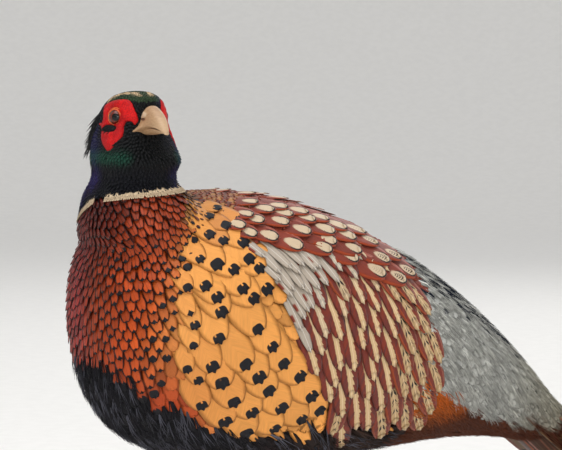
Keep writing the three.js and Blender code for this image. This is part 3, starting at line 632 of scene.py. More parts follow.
class Plumage:
    """Collects the vanes and tufts of one piece, and makes its mesh."""

    def __init__(self, name, rng):
        self.name, self.rng = name, rng
        self.verts, self.faces, self.bake, self.total = [], [], [], 0
        self.data = {"vane": [], "plume": [], "mark": [], "ground": []}

    def vanes(self, tips, ways, length, width, grade, sunk, rise, ground, spot=0, edge=0, shaft=0,
              pattern_and_sheen=0, pointed=0.6, camber=0.1, twist=0.0, tuck=0.0):
        """Adds one vane per tip, laid back from it along its way on the coat."""
        spare = self.rng.random(len(tips))
        along, columns = VANE_ROWS[grade]
        height, count = len(along), len(tips)
        length, width, sunk, rise, pointed, camber, twist = (
            np.broadcast_to(np.asarray(value, float), (count,))
            for value in (length, width, sunk, rise, pointed, camber, twist)
        )
        middle = np.empty((count, height, 3))
        normal = np.empty((count, height, 3))
        place, up = coat().nearest(tips)
        middle[:, -1], normal[:, -1] = place, up
        heading = unit(ways)
        for row in range(height - 2, -1, -1):
            reach = (along[row + 1] - along[row]) * length
            heading = laid_flat(heading, up)
            place, up = coat().nearest(place - heading * reach[:, None])
            middle[:, row], normal[:, row] = place, up
        flow = unit(np.gradient(middle, axis=1))
        side = unit(np.cross(flow, normal))
        u = np.linspace(-1, 1, columns)[None, None, :]
        half = np.stack([blade(t, pointed) for t in along], 1) * width[:, None] / 2
        lift = -sunk[:, None] * (1 - along) ** 1.1 + rise[:, None] * along
        lateral = half[:, :, None] * u
        above = lift[:, :, None] - camber[:, None, None] * half[:, :, None] * u**2
        above = above + twist[:, None, None] * lateral
        above[:, -1] -= tuck
        # the corners of a round tip are drawn back
        last = np.where(np.arange(height) == height - 1, 1.0, 0.0)[None, :, None]
        back = last * 0.12 * length[:, None, None] * np.abs(u) ** 2.2
        back = back * (pointed[:, None, None] > 0.3)
        verts = (
            middle[:, :, None]
            + side[:, :, None] * lateral[..., None]
            + normal[:, :, None] * above[..., None]
            - flow[:, :, None] * back[..., None]
        )
        share = along[None, :, None] - back / length[:, None, None]
        roots = middle[:, 0]
        self.add(verts, u, share, lateral, roots, length, ground, spot, edge, shaft, pattern_and_sheen, spare)

    def undercoat(self, points, ways, ground, **form):
        """Adds the plain vanes that close the coat under its loose or larger feathers."""
        self.vanes(points, ways, grade="small", ground=ground, **form)

    def add(self, verts, u, share, lateral, roots, length, ground, spot=0, edge=0, shaft=0, pattern_and_sheen=0,
            spare=0):
        """Adds closed blades, each a grid of points, with the numbers for their material."""
        count, height, columns, _ = verts.shape
        size = height * columns
        u, share, lateral = (
            np.broadcast_to(value, verts.shape[:3]).ravel() for value in (u, share, lateral)
        )

        def each(*values):
            return np.stack([np.repeat(np.broadcast_to(v, (count,)), size) for v in values], 1)

        self.data["vane"].append(np.stack([u, share, lateral], 1))
        self.data["plume"].append(each(length, spot, spare))
        self.data["mark"].append(each(edge, shaft, pattern_and_sheen))
        self.data["ground"].append(np.repeat(ground, size, axis=0))
        patch = PATCH * np.stack([0.5 * u, share - 0.5], 1)
        self.bake.append(np.repeat(bake_places(roots), size, axis=0) + patch)
        quads, ends = prism_faces(height, columns)
        starts = (self.total + np.arange(count) * size)[:, None]
        self.faces += (starts[:, None] + np.array(quads)).reshape(-1, 4).tolist()
        for end in ends:
            self.faces += (starts + np.array(end)).tolist()
        self.verts.append(verts.reshape(-1, 3))
        self.total += count * size

    def tufts(self, tips, ways, length, ground, blades=4, fan=0.22, width=0.9, sunk=2.5, rise=1.2):
        """Adds tufts of thin, tapered blades that spread from one root."""
        rng, count = self.rng, len(tips)
        place, up = coat().nearest(tips)
        heading = laid_flat(ways, up)
        root, root_up = coat().nearest(place - heading * length[:, None])
        middle, middle_up = coat().nearest(place - heading * length[:, None] * 0.45)
        normal = np.stack([root_up, middle_up, up], 1)
        side = np.cross(heading, up)
        u = np.array([-1.0, 0, 1.0])
        share = np.array([0, 0.5, 1.0])[:, None]
        half = 0.5 * width * np.array([1.0, 0.8, 0.12])[None, :]
        thick = normal * (0.35 * width * np.array([1.0, 0.8, 0.2]))[None, :, None]
        for k in range(blades):
            turn = fan * (2 * (k + rng.random(count)) / blades - 1)
            way = unit(heading * np.cos(turn)[:, None] + side * np.sin(turn)[:, None])
            reach = length * rng.uniform(0.75, 1.1, count)
            spread = side * (np.sin(turn) * reach)[:, None]
            tip = root + (place - root) + spread - heading * (length - reach)[:, None]
            path = np.stack([root, (middle + (tip - place) * 0.4), tip], 1)
            top = rise * rng.uniform(0.3, 1.3, count)
            lift = np.stack([-np.full(count, sunk), np.full(count, 0.1), top], 1)
            path = path + normal * lift[..., None]
            aside = unit(np.cross(way, up))[:, None, :] * half[..., None]
            verts = np.stack([path - aside, path + thick, path + aside], 2)
            shade = varied(rng, ground, 0.72, 1.3)
            self.add(verts, u, share, u * half[:, :, None], root, length, shade)

    def free_blades(self, root, away, length, width, ground):
        """Adds single tapered feathers that stand off the coat, each with a slight bend down."""
        along = np.array([0, 0.35, 0.7, 1.0])
        path = root[:, None] + away[:, None] * (along[None, :, None] * length[:, None, None])
        down = np.array([0, 0, -1.0])
        path = path + down * (0.12 * length[:, None, None] * (along**2)[None, :, None])
        side = unit(np.cross(away, np.array([0.25, 1.0, 0.1])))
        thick = unit(np.cross(side, away))
        half = 0.5 * width * np.array([0.7, 1.0, 0.7, 0.1])
        aside = side[:, None] * half[None, :, None]
        ridge = path + thick[:, None] * (0.25 * half)[None, :, None]
        verts = np.stack([path - aside, ridge, path + aside], 2)
        u = np.array([-1.0, 0, 1.0])
        lateral, spare = u * half[None, :, None], self.rng.random(len(root))
        self.add(verts, u, along[:, None], lateral, root, length, ground, spare=spare)

    def make(self, slot, material, nodes=()):
        piece = mesh_object(self.name, np.concatenate(self.verts), self.faces)
        corners = numbers(piece.data.loops, "vertex_index", 1, np.int32)[:, 0]
        bake = np.concatenate(self.bake)[corners]
        layer = piece.data.uv_layers.new(name="OFBake")
        layer.uv.foreach_set("vector", bake.astype(np.float32).ravel())
        for key, values in self.data.items():
            set_attribute(piece, key, np.concatenate(values))
        hand_in(piece, slot, nodes, material)


# ---- Materials


def maths(operation, swapped=False):
    """A method that adds one maths node."""

    def work(self, *others):
        inputs = (*others, self) if swapped else (self, *others)
        node = self.finish.add("ShaderNodeMath", {"operation": operation}, dict(enumerate(inputs)))
        return Value(self.finish, node.outputs[0])

    return work


class Value:
    """A number in a material: sums and products of it add the nodes that work them out."""

    def __init__(self, finish, socket):
        self.finish, self.socket = finish, socket

    __add__ = __radd__ = maths("ADD")
    __mul__ = __rmul__ = maths("MULTIPLY")
    __sub__, __rsub__ = maths("SUBTRACT"), maths("SUBTRACT", swapped=True)
    __truediv__, __rtruediv__ = maths("DIVIDE"), maths("DIVIDE", swapped=True)
    __pow__, __abs__ = maths("POWER"), maths("ABSOLUTE")
    most, wave, fraction = maths("MAXIMUM"), maths("SINE"), maths("FRACT")

    def ramp(self, start, end):
        """0 before start and 1 past end, smoothly between; start may be the larger."""
        settings = {"interpolation_type": "SMOOTHSTEP"}
        inputs = {"Value": self, "From Min": start, "From Max": end}
        node = self.finish.add("ShaderNodeMapRange", settings, inputs)
        return Value(self.finish, node.outputs[0])


class Finish:
    """A material under way."""

    def __init__(self, name, roughness=0.6, **constants):
        self.material = bpy.data.materials.new(name)
        self.material.use_nodes = True
        self.tree = self.material.node_tree
        self.shader = self.tree.nodes["Principled BSDF"]
        self.shader.inputs["Roughness"].default_value = roughness
        for key, value in constants.items():
            self.shader.inputs[key.replace("_", " ")].default_value = value

    def add(self, kind, settings=None, inputs=None):
        node = self.tree.nodes.new(kind)
        for key, value in (settings or {}).items():
            setattr(node, key, value)
        for key, value in (inputs or {}).items():
            self.feed(node.inputs[key], value)
        return node

    def feed(self, socket, value):
        if isinstance(value, Value):
            value = value.socket
        if isinstance(value, bpy.types.NodeSocket):
            self.tree.links.new(value, socket)
        elif hasattr(value, "__len__"):
            socket.default_value = [*value, 1.0]
        else:
            socket.default_value = value

    def three(self, name):
        """The three numbers of an attribute."""
        node = self.add("ShaderNodeAttribute", {"attribute_name": name})
        apart = self.add("ShaderNodeSeparateXYZ", None, {0: node.outputs["Vector"]})
        return [Value(self, out) for out in apart.outputs]

    def attribute_colour(self, name):
        return self.add("ShaderNodeAttribute", {"attribute_name": name}).outputs["Color"]

    def join(self, x, y, z=0.0):
        """A vector from three numbers."""
        return self.add("ShaderNodeCombineXYZ", None, {0: x, 1: y, 2: z}).outputs[0]

    def mix(self, factor, first, second, blend="MIX"):
        node = self.add("ShaderNodeMix", {"data_type": "RGBA", "blend_type": blend}, {0: factor})
        self.feed(node.inputs[6], first)
        self.feed(node.inputs[7], second)
        return node.outputs[2]

    def noise(self, vector, scale=1.0, detail=2.0, roughness=0.5):
        inputs = {"Vector": vector, "Scale": scale, "Detail": detail, "Roughness": roughness}
        return Value(self, self.add("ShaderNodeTexNoise", None, inputs).outputs[0])

    def shaded(self, colour_in, amount):
        """The colour made darker or lighter by a number round 1."""
        return self.mix(1.0, colour_in, self.join(amount, amount, amount), "MULTIPLY")

    def object_place(self):
        return self.add("ShaderNodeTexCoord").outputs["Object"]

    def paint(self, colour_out):
        self.feed(self.shader.inputs["Base Color"], colour_out)

    def rough(self, value):
        self.feed(self.shader.inputs["Roughness"], value)

    def cells(self, scale, feature="F1"):
        """How far each place is from the middle, or the edge, of its cell."""
        inputs = {"Vector": self.object_place(), "Scale": scale}
        node = self.add("ShaderNodeTexVoronoi", {"feature": feature}, inputs)
        return Value(self, node.outputs["Distance"])

    def bump(self, height, strength, distance):
        inputs = {"Height": height, "Strength": strength, "Distance": distance}
        node = self.add("ShaderNodeBump", None, inputs)
        self.feed(self.shader.inputs["Normal"], node.outputs[0])


class Vane(Finish):
    """The finish of a feather, with its barbs, from the numbers that each vane carries."""

    def __init__(self, name, roughness=0.6, streak=0.35, **constants):
        super().__init__(name, roughness, Specular_IOR_Level=0.22, **constants)
        self.u, self.v, self.lateral = self.three("vane")
        self.length, self.spot, self.spare = self.three("plume")
        self.edge, self.shaft, self.pattern_and_sheen = self.three("mark")
        self.aside = abs(self.lateral)
        self.along = self.v * self.length
        slant = self.along * 0.75 - self.aside
        half = self.u.ramp(-0.05, 0.05) * 9.0
        barb_place = self.join(slant * 2.4, self.aside * 0.22, self.spare * 91.0 + half)
        self.barbs = self.noise(barb_place, 1.0, 3.0, 0.6)
        soft_place = self.join(slant * 0.5, self.aside * 0.1, self.spare * 37.0)
        self.soft = self.noise(soft_place, 1.0, 1.0)
        light = 1.0 - streak * 0.5 + streak * self.barbs + 0.3 * (self.soft - 0.5)
        self.ground = self.shaded(self.attribute_colour("ground"), light)
        self.shaft_line = self.aside.ramp(0.34, 0.12)
        sides = abs(self.u).ramp(0.7, 0.86) * self.v.ramp(0.3, 0.6)
        self.rim = sides.most(self.v.ramp(0.91, 0.96))

    def done(self, colour_out, bump=0.35):
        self.paint(colour_out)
        self.bump(self.barbs + self.shaft_line * 0.6, bump, 0.0004)
        return self.material


def breast_finish():
    f = Vane("breast plumage", 0.5, streak=0.4)
    night = colour("night")
    out = f.mix(f.shaft_line * f.shaft, f.ground, f.shaded(f.ground, 0.22))
    out = f.mix(f.rim * (1.0 - f.edge) * 0.22, out, f.mix(0.5, f.ground, tone(150, 66, 22)))
    sides = abs(f.u).ramp(0.58, 0.8) * f.v.ramp(0.35, 0.6)
    border = sides.most(f.v.ramp(0.87, 0.93))
    out = f.mix(border * f.edge * 0.9, out, f.shaded(night, 0.6))
    # a spot near the tip: a star where it is small, nearly square where it is large
    ahead = (f.v - 0.99) * f.length + f.spot * (0.25 + 0.6 * f.spot.ramp(1.6, 3.2))
    ragged = (f.barbs - 0.5) * 1.3
    corner = f.spot.ramp(2.7, 3.6) * 2.6 + 0.8
    wide = (f.aside + ragged * 0.3).most(0.0) ** corner
    long = (abs(ahead) + ragged * 0.3).most(0.0) ** corner
    size = (wide + long) ** (1.0 / corner)
    # some of the large spots have a notch in their rear edge
    gap = abs(f.lateral + (f.spare - 0.5) * 4.0).ramp(0.8, 0.4)
    gap = gap * (ahead + f.spot * 0.5).ramp(0.0, -0.6) * f.spot.ramp(2.4, 3.0)
    notch = 1.0 - gap * (f.spare * 7.0).fraction().ramp(0.25, 0.6)
    spot = (size - f.spot).ramp(0.25, -0.15) * notch * f.spot.ramp(0.05, 0.3)
    out = f.mix(spot, out, night)
    return f.done(out, 0.25)


def shoulder_finish():
    f = Vane("shoulder plumage", 0.5, streak=0.3, Sheen_Weight=0.1)
    night = colour("night") * 0.5
    # spot is the half width of the pale drop, the third mark number how far its middle has dark
    # lines
    ahead = (f.v - 1.0) * f.length + f.spot + 2.3
    back = ahead.ramp(0.5, -1.5)
    stretched = ahead * (1.0 - 0.54 * back)
    across = (f.aside**2.0 + stretched**2.0) ** 0.5
    ragged = (f.barbs - 0.5) * (0.3 + 2.4 * back)
    drop = (across + ragged - f.spot).ramp(0.3, -0.3) * f.spot.ramp(0.2, 0.6)
    ring = (across - f.spot - 1.1).ramp(0.3, -0.3) * ahead.ramp(-6.0, -1.0) * f.spot.ramp(0.2, 0.6)
    pencil = (f.along * 3.2 + f.aside * 2.0 + f.barbs * 3.0).wave().ramp(-0.2, 0.4)
    core = (across - f.spot * 0.66).ramp(0.3, -0.3) * pencil * f.pattern_and_sheen
    rust = f.mix(f.rim, f.ground, tone(168, 66, 30))
    out = f.mix(ring, rust, night)
    out = f.mix(drop, out, f.shaded(colour("brow"), 0.6 + 0.24 * f.barbs))
    out = f.mix(core, out, tone(70, 52, 40))
    out = f.mix(f.shaft_line * 0.5 * (1.0 - drop), out, tone(84, 40, 30))
    return f.done(out)


def wing_finish():
    f = Vane("wing plumage", 0.52, streak=0.22, Sheen_Weight=0.08)
    # spot is 0 for a grey covert, 1 for a striped feather and 2 for a pencilled one
    striped = f.spot.ramp(0.4, 0.7)
    pencilled = f.spot.ramp(1.4, 1.7)
    slate = f.shaded(colour("slate"), 0.84 + 0.34 * f.barbs)
    slate = f.mix(f.shaft_line, slate, tone(206, 200, 190))
    fleck = (f.u * 1.3 - 0.35).ramp(0.0, 0.4) * abs(f.v - 0.72).ramp(0.1, 0.05) * f.pattern_and_sheen
    slate = f.mix(fleck, slate, colour("chestnut"))
    maroon = f.mix(f.soft.ramp(0.3, 0.7), colour("chestnut"), tone(96, 43, 38))
    maroon = f.shaded(maroon, 0.85 + 0.35 * f.barbs)
    half = 2.1 + 1.4 * (f.soft - 0.5) + 1.0 * pencilled
    near_tip = (f.v - 0.96) * f.length
    off_shaft = abs(f.lateral + (f.soft - 0.5) * 2.6)
    stripe_end = (off_shaft**2.0 + near_tip.most(0.0) ** 2.0) ** 0.5
    stripe = (stripe_end - half + (f.barbs - 0.5) * 0.5).ramp(0.35, -0.35)
    buff = f.mix(f.pattern_and_sheen, tone(204, 172, 128), tone(182, 170, 152))
    buff = f.shaded(buff, 0.85 + 0.3 * f.barbs)
    buff = f.mix(pencilled * 0.6, buff, tone(172, 140, 98))
    buff = f.mix(f.shaft_line * 0.6, buff, tone(232, 212, 176))
    chevron = (f.along * 0.8 - f.aside * 1.5 + f.barbs * 4.0).wave().ramp(0.0, 0.3)
    chevron = chevron * f.aside.ramp(3.0, 1.8) * f.aside.ramp(0.3, 0.7) * f.v.ramp(0.93, 0.8)
    buff = f.mix(chevron * f.soft.ramp(0.35, 0.5) * pencilled, buff, tone(34, 28, 28))
    feather = f.mix(stripe, maroon, buff)
    feather = f.mix(f.rim * pencilled * (1.0 - stripe), feather, tone(160, 72, 40))
    return f.done(f.mix(striped, slate, feather))


def tail_finish():
    f = Vane("tail plumage", 0.5, streak=0.25, Sheen_Weight=0.08)
    # spot is the distance between the dark bars
    wobble = (f.soft - 0.5) * 2.4 + (f.barbs - 0.5) * 0.8
    phase = ((f.along + f.aside * 0.35 + wobble) / f.spot.most(1.0)).fraction()
    bar = abs(phase - 0.5).ramp(0.15, 0.1) * f.aside.ramp(11.0, 9.0) * f.spot.ramp(0.5, 1.0)
    out = f.mix(abs(f.u).ramp(0.5, 0.9), f.ground, tone(146, 84, 62))
    mottle = f.noise(f.join(f.along * 0.9, f.lateral * 0.9, f.spare * 17.0), 1.0, 3.0)
    out = f.shaded(out, 0.82 + 0.36 * mottle)
    out = f.mix(bar, out, tone(34, 24, 20))
    out = f.mix(f.shaft_line, out, tone(90, 66, 46))
    return f.done(out)


def down_finish(name, streak=0.5):
    f = Vane(name, 0.7, streak=streak)
    out = f.mix(f.rim * f.edge, f.ground, f.shaded(f.ground, 0.35))
    # spot is the half width of a blue-black blot
    blot = (((f.v - 0.8) * f.length) ** 2.0 + f.lateral**2.0) ** 0.5
    blot = (blot - f.spot).ramp(0.4, -0.4) * f.spot.ramp(0.1, 0.4)
    return f.done(f.mix(blot, out, tone(24, 30, 44)))


def gloss_finish(name, roughness=0.5):
    f = Vane(name, roughness, streak=0.6, Metallic=0.1)
    # painted sheen: blue patches on the feathers of the sides of the neck and head
    drift = f.noise(f.object_place(), 55.0).ramp(0.42, 0.62)
    blue = f.mix(drift, f.ground, f.mix(0.5, f.ground, tone(52, 44, 140)))
    lit = f.mix(f.pattern_and_sheen, f.ground, blue)
    out = f.mix(f.rim * 0.6, lit, f.shaded(lit, 0.35))
    f.rough(roughness + 0.25 * f.barbs)
    return f.done(out, 0.3)


def skin_finish():
    f = Finish("skin", 0.75)
    place = f.object_place()
    f.paint(f.shaded(f.attribute_colour("ground"), 0.4 + 0.35 * f.noise(place, 420.0, 3.0)))
    f.bump(f.noise(place, 900.0, 3.0), 0.4, 0.0006)
    return f.material


def face_finish():
    f = Finish("face skin", 0.6, Specular_IOR_Level=0.2)
    grain, wide = f.cells(1150.0), f.noise(f.object_place(), 130.0, 3.0)
    pore = f.cells(420.0).ramp(0.16, 0.08) * wide.ramp(0.45, 0.6)
    base = f.mix(wide.ramp(0.3, 0.7), colour("face"), tone(168, 12, 18))
    base = f.mix(grain.ramp(0.3, 0.75) * 0.5, base, tone(120, 8, 12))
    f.paint(f.mix(pore * 0.7, base, tone(60, 6, 10)))
    f.bump(1.0 - grain, 0.55, 0.0005)
    return f.material


def lid_finish():
    f = Finish("lid", 0.45)
    place = f.object_place()
    f.paint(f.mix(f.noise(place, 900.0).ramp(0.4, 0.6), tone(226, 108, 40), tone(190, 58, 30)))
    f.bump(f.noise(place, 1500.0), 0.4, 0.0003)
    return f.material


def eye_finish():
    f = Finish("eye", 0.03, IOR=1.4)
    turn, around, _ = f.three("turn")
    streaks = f.noise(f.join(around * 9.0, turn * 2.0), 3.0, 3.0)
    iris = f.mix(streaks.ramp(0.3, 0.7), tone(74, 24, 16), tone(120, 46, 30))
    iris = f.mix(turn.ramp(0.66, 0.9), iris, tone(52, 14, 12))
    out = f.mix(turn.ramp(0.45, 0.41), iris, (0.001, 0.001, 0.001))
    f.paint(f.mix(turn.ramp(1.0, 1.3), out, tone(22, 9, 8)))
    return f.material


def bill_finish():
    f = Finish("bill horn", 0.42, Subsurface_Weight=0.05, Subsurface_Radius=(0.003, 0.002, 0.001))
    along, down, _ = f.three("place")
    fine = f.noise(f.object_place(), 700.0, 4.0)
    layers = f.noise(f.join(along * 0.5, down * 0.9), 1.0, 4.0)
    horn = f.mix(layers.ramp(0.3, 0.75), colour("bill"), tone(156, 118, 84))
    horn = f.mix(along.ramp(20.0, 12.0) * 0.7, horn, tone(204, 184, 156))
    horn = f.mix(along.ramp(34.0, 49.0) * 0.45, horn, tone(214, 184, 148))
    cover = (((along - 27.0) / 4.0) ** 2.0 + ((down - 338.4) / 2.2) ** 2.0).ramp(1.4, 0.5)
    horn = f.mix(cover * 0.6, horn, tone(220, 196, 166))
    # painted shade in the nostril: its dent in the bill is coloured dark
    hole = (((along - 27.4) / 2.6) ** 2.0 + ((down - 335.4) / 1.0) ** 2.0).ramp(1.3, 0.5)
    horn = f.mix(hole * 0.85, horn, tone(70, 40, 26))
    f.paint(f.shaded(horn, 0.86 + 0.26 * fine))
    f.rough(0.36 + 0.2 * fine)
    f.bump(layers + fine * 0.3, 0.25, 0.0004)
    return f.material


def leg_finish():
    f = Finish("leg scales", 0.5)
    seam = f.cells(420.0, "DISTANCE_TO_EDGE").ramp(0.02, 0.12)
    wide = f.noise(f.object_place(), 160.0, 3.0).ramp(0.3, 0.7)
    base = f.mix(wide, colour("leg"), tone(92, 84, 76))
    f.paint(f.mix(seam, tone(58, 52, 48), base))
    f.bump(seam, 0.5, 0.0005)
    return f.material


def claw_finish():
    f = Finish("claw horn", 0.35)
    place = f.object_place()
    f.paint(f.mix(f.noise(place, 300.0, 3.0).ramp(0.3, 0.7), tone(52, 44, 38), tone(96, 82, 66)))
    f.bump(f.noise(place, 900.0), 0.2, 0.0002)
    return f.material


# ---- The pieces

_made = {}


def coat():
    if "coat" not in _made:
        _made["coat"] = Coat()
    return _made["coat"]


def seed_spacing(p):
    """How far apart the small feathers stand at each place, and 0 where there are none."""
    zones = Zones(p)
    above = ring_height(p)
    apart = 5.4 + 1.9 * step(-above, 6, 90) + 3.4 * step(zones.gold, 0.35, 1.0)
    for mask, value in (
        (zones.mantle, 4.6),
        (zones.belly, 7.0),
        (zones.shoulder & ~zones.mantle, 8.5),
        (zones.rump, 6.0),
        (zones.thigh, 5.5),
        (zones.upper, 2.1 + 0.7 * step(above, 2, 12)),
        (zones.head, 2.3 - 0.6 * step(p[:, 2], 342, 346)),
        (zones.wing | ~zones.upper & (above > -3), 0),
    ):
        apart = np.where(mask, value, apart)
    return apart


def seeds(rng, mask_of):
    """Places, spacing, ways and ground colours of the small feathers in one part of the plumage."""
    if "seeds" not in _made:
        _made["seeds"] = coat().scatter(np.random.default_rng(11), seed_spacing)
    points, apart = _made["seeds"]
    mask = mask_of(Zones(points)) & (apart > 0)
    points, apart = points[mask], apart[mask]
    ways = lie(points, coat().nearest(points)[1])
    return points, apart, ways, ground_colour(points, rng)


def side_places(pairs, hand):
    """Places on the side of the coat from places along Y and heights."""
    y, z = pairs.T
    found = coat().met(np.stack([np.full(len(y), hand * 90.0), y, z], 1), (-hand, 0.0, 0.0))
    on_back = np.stack([np.full(len(y), hand * 2.0), y, np.full(len(y), 284.0)], 1)
    return coat().nearest(np.where(np.isnan(found), on_back, found))[0]


def build_skin():
    piece = mesh_copy(coat().piece, "skin")
    verts = coat().verts - coat().normals * skin_depth(coat().verts)[:, None]
    piece.data.vertices.foreach_set("co", place_in_world(verts).astype(np.float32).ravel())
    piece.data.update()
    modify(piece, "SMOOTH", factor=0.5, iterations=6)
    set_attribute(piece, "ground", ground_colour(coat().verts, np.random.default_rng(3)))
    nodes = ("torso", "neck", "head", "thigh_left", "thigh_right")
    hand_in(piece, "body_plumage", nodes, skin_finish())


def build_breast():
    rng = np.random.default_rng(21)
    points, apart, ways, ground = seeds(rng, lambda z: z.breast)
    zones, count = Zones(points), len(points)
    gold, mantle = zones.gold, zones.mantle
    ground = varied(rng, ground, 0.72, 1.22)
    grown = apart / 6.3
    length = sizes().breast_feather / MM * grown
    plain = step(gold, 0.3, 0.8)
    front = step(-points[:, 0], -40, 0)
    below = -ring_height(points)
    spot = (1.5 + 0.6 * (1 - front) + 1.4 * gold) * step(below, 12, 40)
    spot = np.where(gold < 0.6, spot, 0) * rng.uniform(0.75, 1.25, count)
    spot = np.where(mantle, rng.choice([0, 1.9, 2.5], count), spot)
    plumes = Plumage("coat_breast", rng)
    plumes.vanes(
        points,
        turned(rng, ways, 0.1),
        length * (1 + 0.12 * front) * rng.uniform(0.85, 1.15, count),
        (8.0 * grown * (1 - 0.18 * front)) * np.where(mantle, 0.7, 1),
        "small",
        sunk=1.9 + 0.07 * length,
        rise=0.4 - 1.5 * plain - 0.3 * step(-points[:, 0], 8, 44),
        ground=ground,
        spot=spot,
        edge=np.where(mantle, 0.8, 1 - step(gold, 0.2, 0.6)),
        shaft=0.75 * (1 - step(gold, 0, 0.3)) * (1 - 0.7 * step(below, 40, 80) * (1 - front)),
        pointed=rng.uniform(0.3, 0.55, count),
        camber=0.14 - 0.1 * plain,
        twist=rng.normal(0, 0.04, count),
        tuck=0.2,
    )
    plumes.make("body_plumage", breast_finish())


def build_flanks():
    rng = np.random.default_rng(5)
    plumes = Plumage("coat_flanks", rng)
    count = len(FLANK_TIPS)
    for hand, _ in SIDES:
        pairs = FLANK_TIPS if hand > 0 else FLANK_TIPS + rng.normal(0, 2.2, FLANK_TIPS.shape)
        tips = side_places(pairs, hand)
        ways = lie(tips, coat().nearest(tips)[1])
        tips = coat().nearest(tips + 4.2 * ways)[0]
        size = 0.5 + 0.5 * step(pairs[:, 0], -96, -66)
        size = size * (1 - 0.35 * step(pairs[:, 1], 235, 270))
        ground = ground_colour(tips, rng) * 0.3
        ground = ground + colour("gold") * 0.7 * rng.uniform(0.93, 1.05, count)[:, None]
        spot = 4.6 * size**0.6 * rng.uniform(0.88, 1.1, count)
        plumes.vanes(
            tips, turned(rng, ways, 0.06), sizes().flank_feather / MM * size, 27 * size, "large",
            sunk=2.0, rise=0.5, ground=ground, spot=spot, pointed=0.45, camber=0.06, tuck=0.25,
            twist=rng.normal(0, 0.012, count),
        )
    plumes.make("body_plumage", breast_finish())


def build_belly():
    rng = np.random.default_rng(31)
    finish = down_finish("belly down")
    plumes = Plumage("coat_belly", rng)
    points, _, ways, ground = seeds(rng, lambda z: z.belly)
    count = len(points)
    plumes.undercoat(points, ways, ground, length=20, width=11, sunk=3.6, rise=0.3, edge=0.4)
    for _ in range(2):
        more = points + rng.normal(0, 2.6, points.shape)
        # painted highlights on the black down: three tufts in ten pale blue-grey, the rest made up
        # to 2.4 times lighter at random
        shade = varied(rng, ground, 0.6, 2.4)
        grey = (rng.random(count) < 0.3)[:, None]
        shade = np.where(grey, tone(84, 84, 94) * rng.uniform(0.5, 1.2, (count, 1)), shade)
        ways_now = turned(rng, ways, 0.08)
        plumes.tufts(more, ways_now, rng.uniform(14, 26, count), shade, rise=2.0)
    plumes.make("body_plumage", finish)
    plumes = Plumage("coat_thighs", rng)
    points, _, ways, ground = seeds(rng, lambda z: z.thigh)
    plumes.undercoat(points, ways, ground, length=15, width=8, sunk=3.0, rise=0.2, edge=0.3)
    ways = turned(rng, ways, 0.1)
    plumes.tufts(points, ways, rng.uniform(9, 14, len(points)), ground, width=0.8, rise=0.8)
    plumes.make("thigh_plumage", finish)


def build_shoulders():
    rng = np.random.default_rng(41)
    plumes = Plumage("coat_shoulders", rng)
    points, _, ways, ground = seeds(rng, lambda z: z.shoulder)
    plumes.undercoat(points, ways, ground, length=22, width=12, sunk=3.8, rise=-0.7)
    back = np.array([[6.0 + 9 * (k % 2), -34 + 15.5 * k, 290] for k in range(9)])
    for hand, _ in SIDES:
        tips = side_places(SHOULDER_TIPS, hand)
        tips = np.concatenate([tips, coat().nearest(back * [hand, 1, 1])[0]])
        tips, normal = coat().nearest(tips + rng.normal(0, 0.8, tips.shape))
        ways = unit(lie(tips, normal) * 0.75 + np.array([0, 0.9, -0.33]) * 0.25)
        size = 0.8 + 0.5 * step(tips[:, 1], -50, 60)
        tips = coat().nearest(tips + 5.5 * ways)[0]
        x, y, _ = tips.T
        drop = 4.1 * (0.76 + 0.24 * step(y, -50, 10)) * rng.uniform(0.88, 1.08, len(tips))
        rise = (2.0 + 0.6 * step(y, 30, 70)) * (1 - 0.7 * step(-np.abs(x), -24, -12))
        ground = varied(rng, np.tile(colour("chestnut"), (len(tips), 1)), 0.8, 1.2)
        plumes.vanes(
            tips, ways, 34 * size, 18 * size, "large", sunk=3.4, rise=rise, ground=ground,
            spot=drop, pattern_and_sheen=step(y, 52, 74), pointed=0.55, camber=0.06, twist=0.03 * hand,
        )
    plumes.make("wing_plumage", shoulder_finish())


def wing_tips(rng, lines, across_step, line_step):
    """Staggered lines of feather tips over the closed wing, as places along Y and heights."""
    tips = []
    along, across = np.array([0.5, -0.866]), np.array([0.866, 0.5])
    start = np.array([-36, 240.0])
    for line in range(-4, lines):
        for k in range(-14, 30):
            down = line * line_step + line_step / 2 * (k % 2) + 3.2 * math.sin(1.9 * k)
            place = start + across * k * across_step + along * down + rng.normal(0, 1.2, 2)
            y, z = place
            on_wing = flank_edge(z) - 3 < y < read_off(WING_REAR, z) + 4
            if on_wing and 108 < z < read_off(SHOULDER_FOOT, y) + 3:
                tips.append(place)
    return np.array(tips)


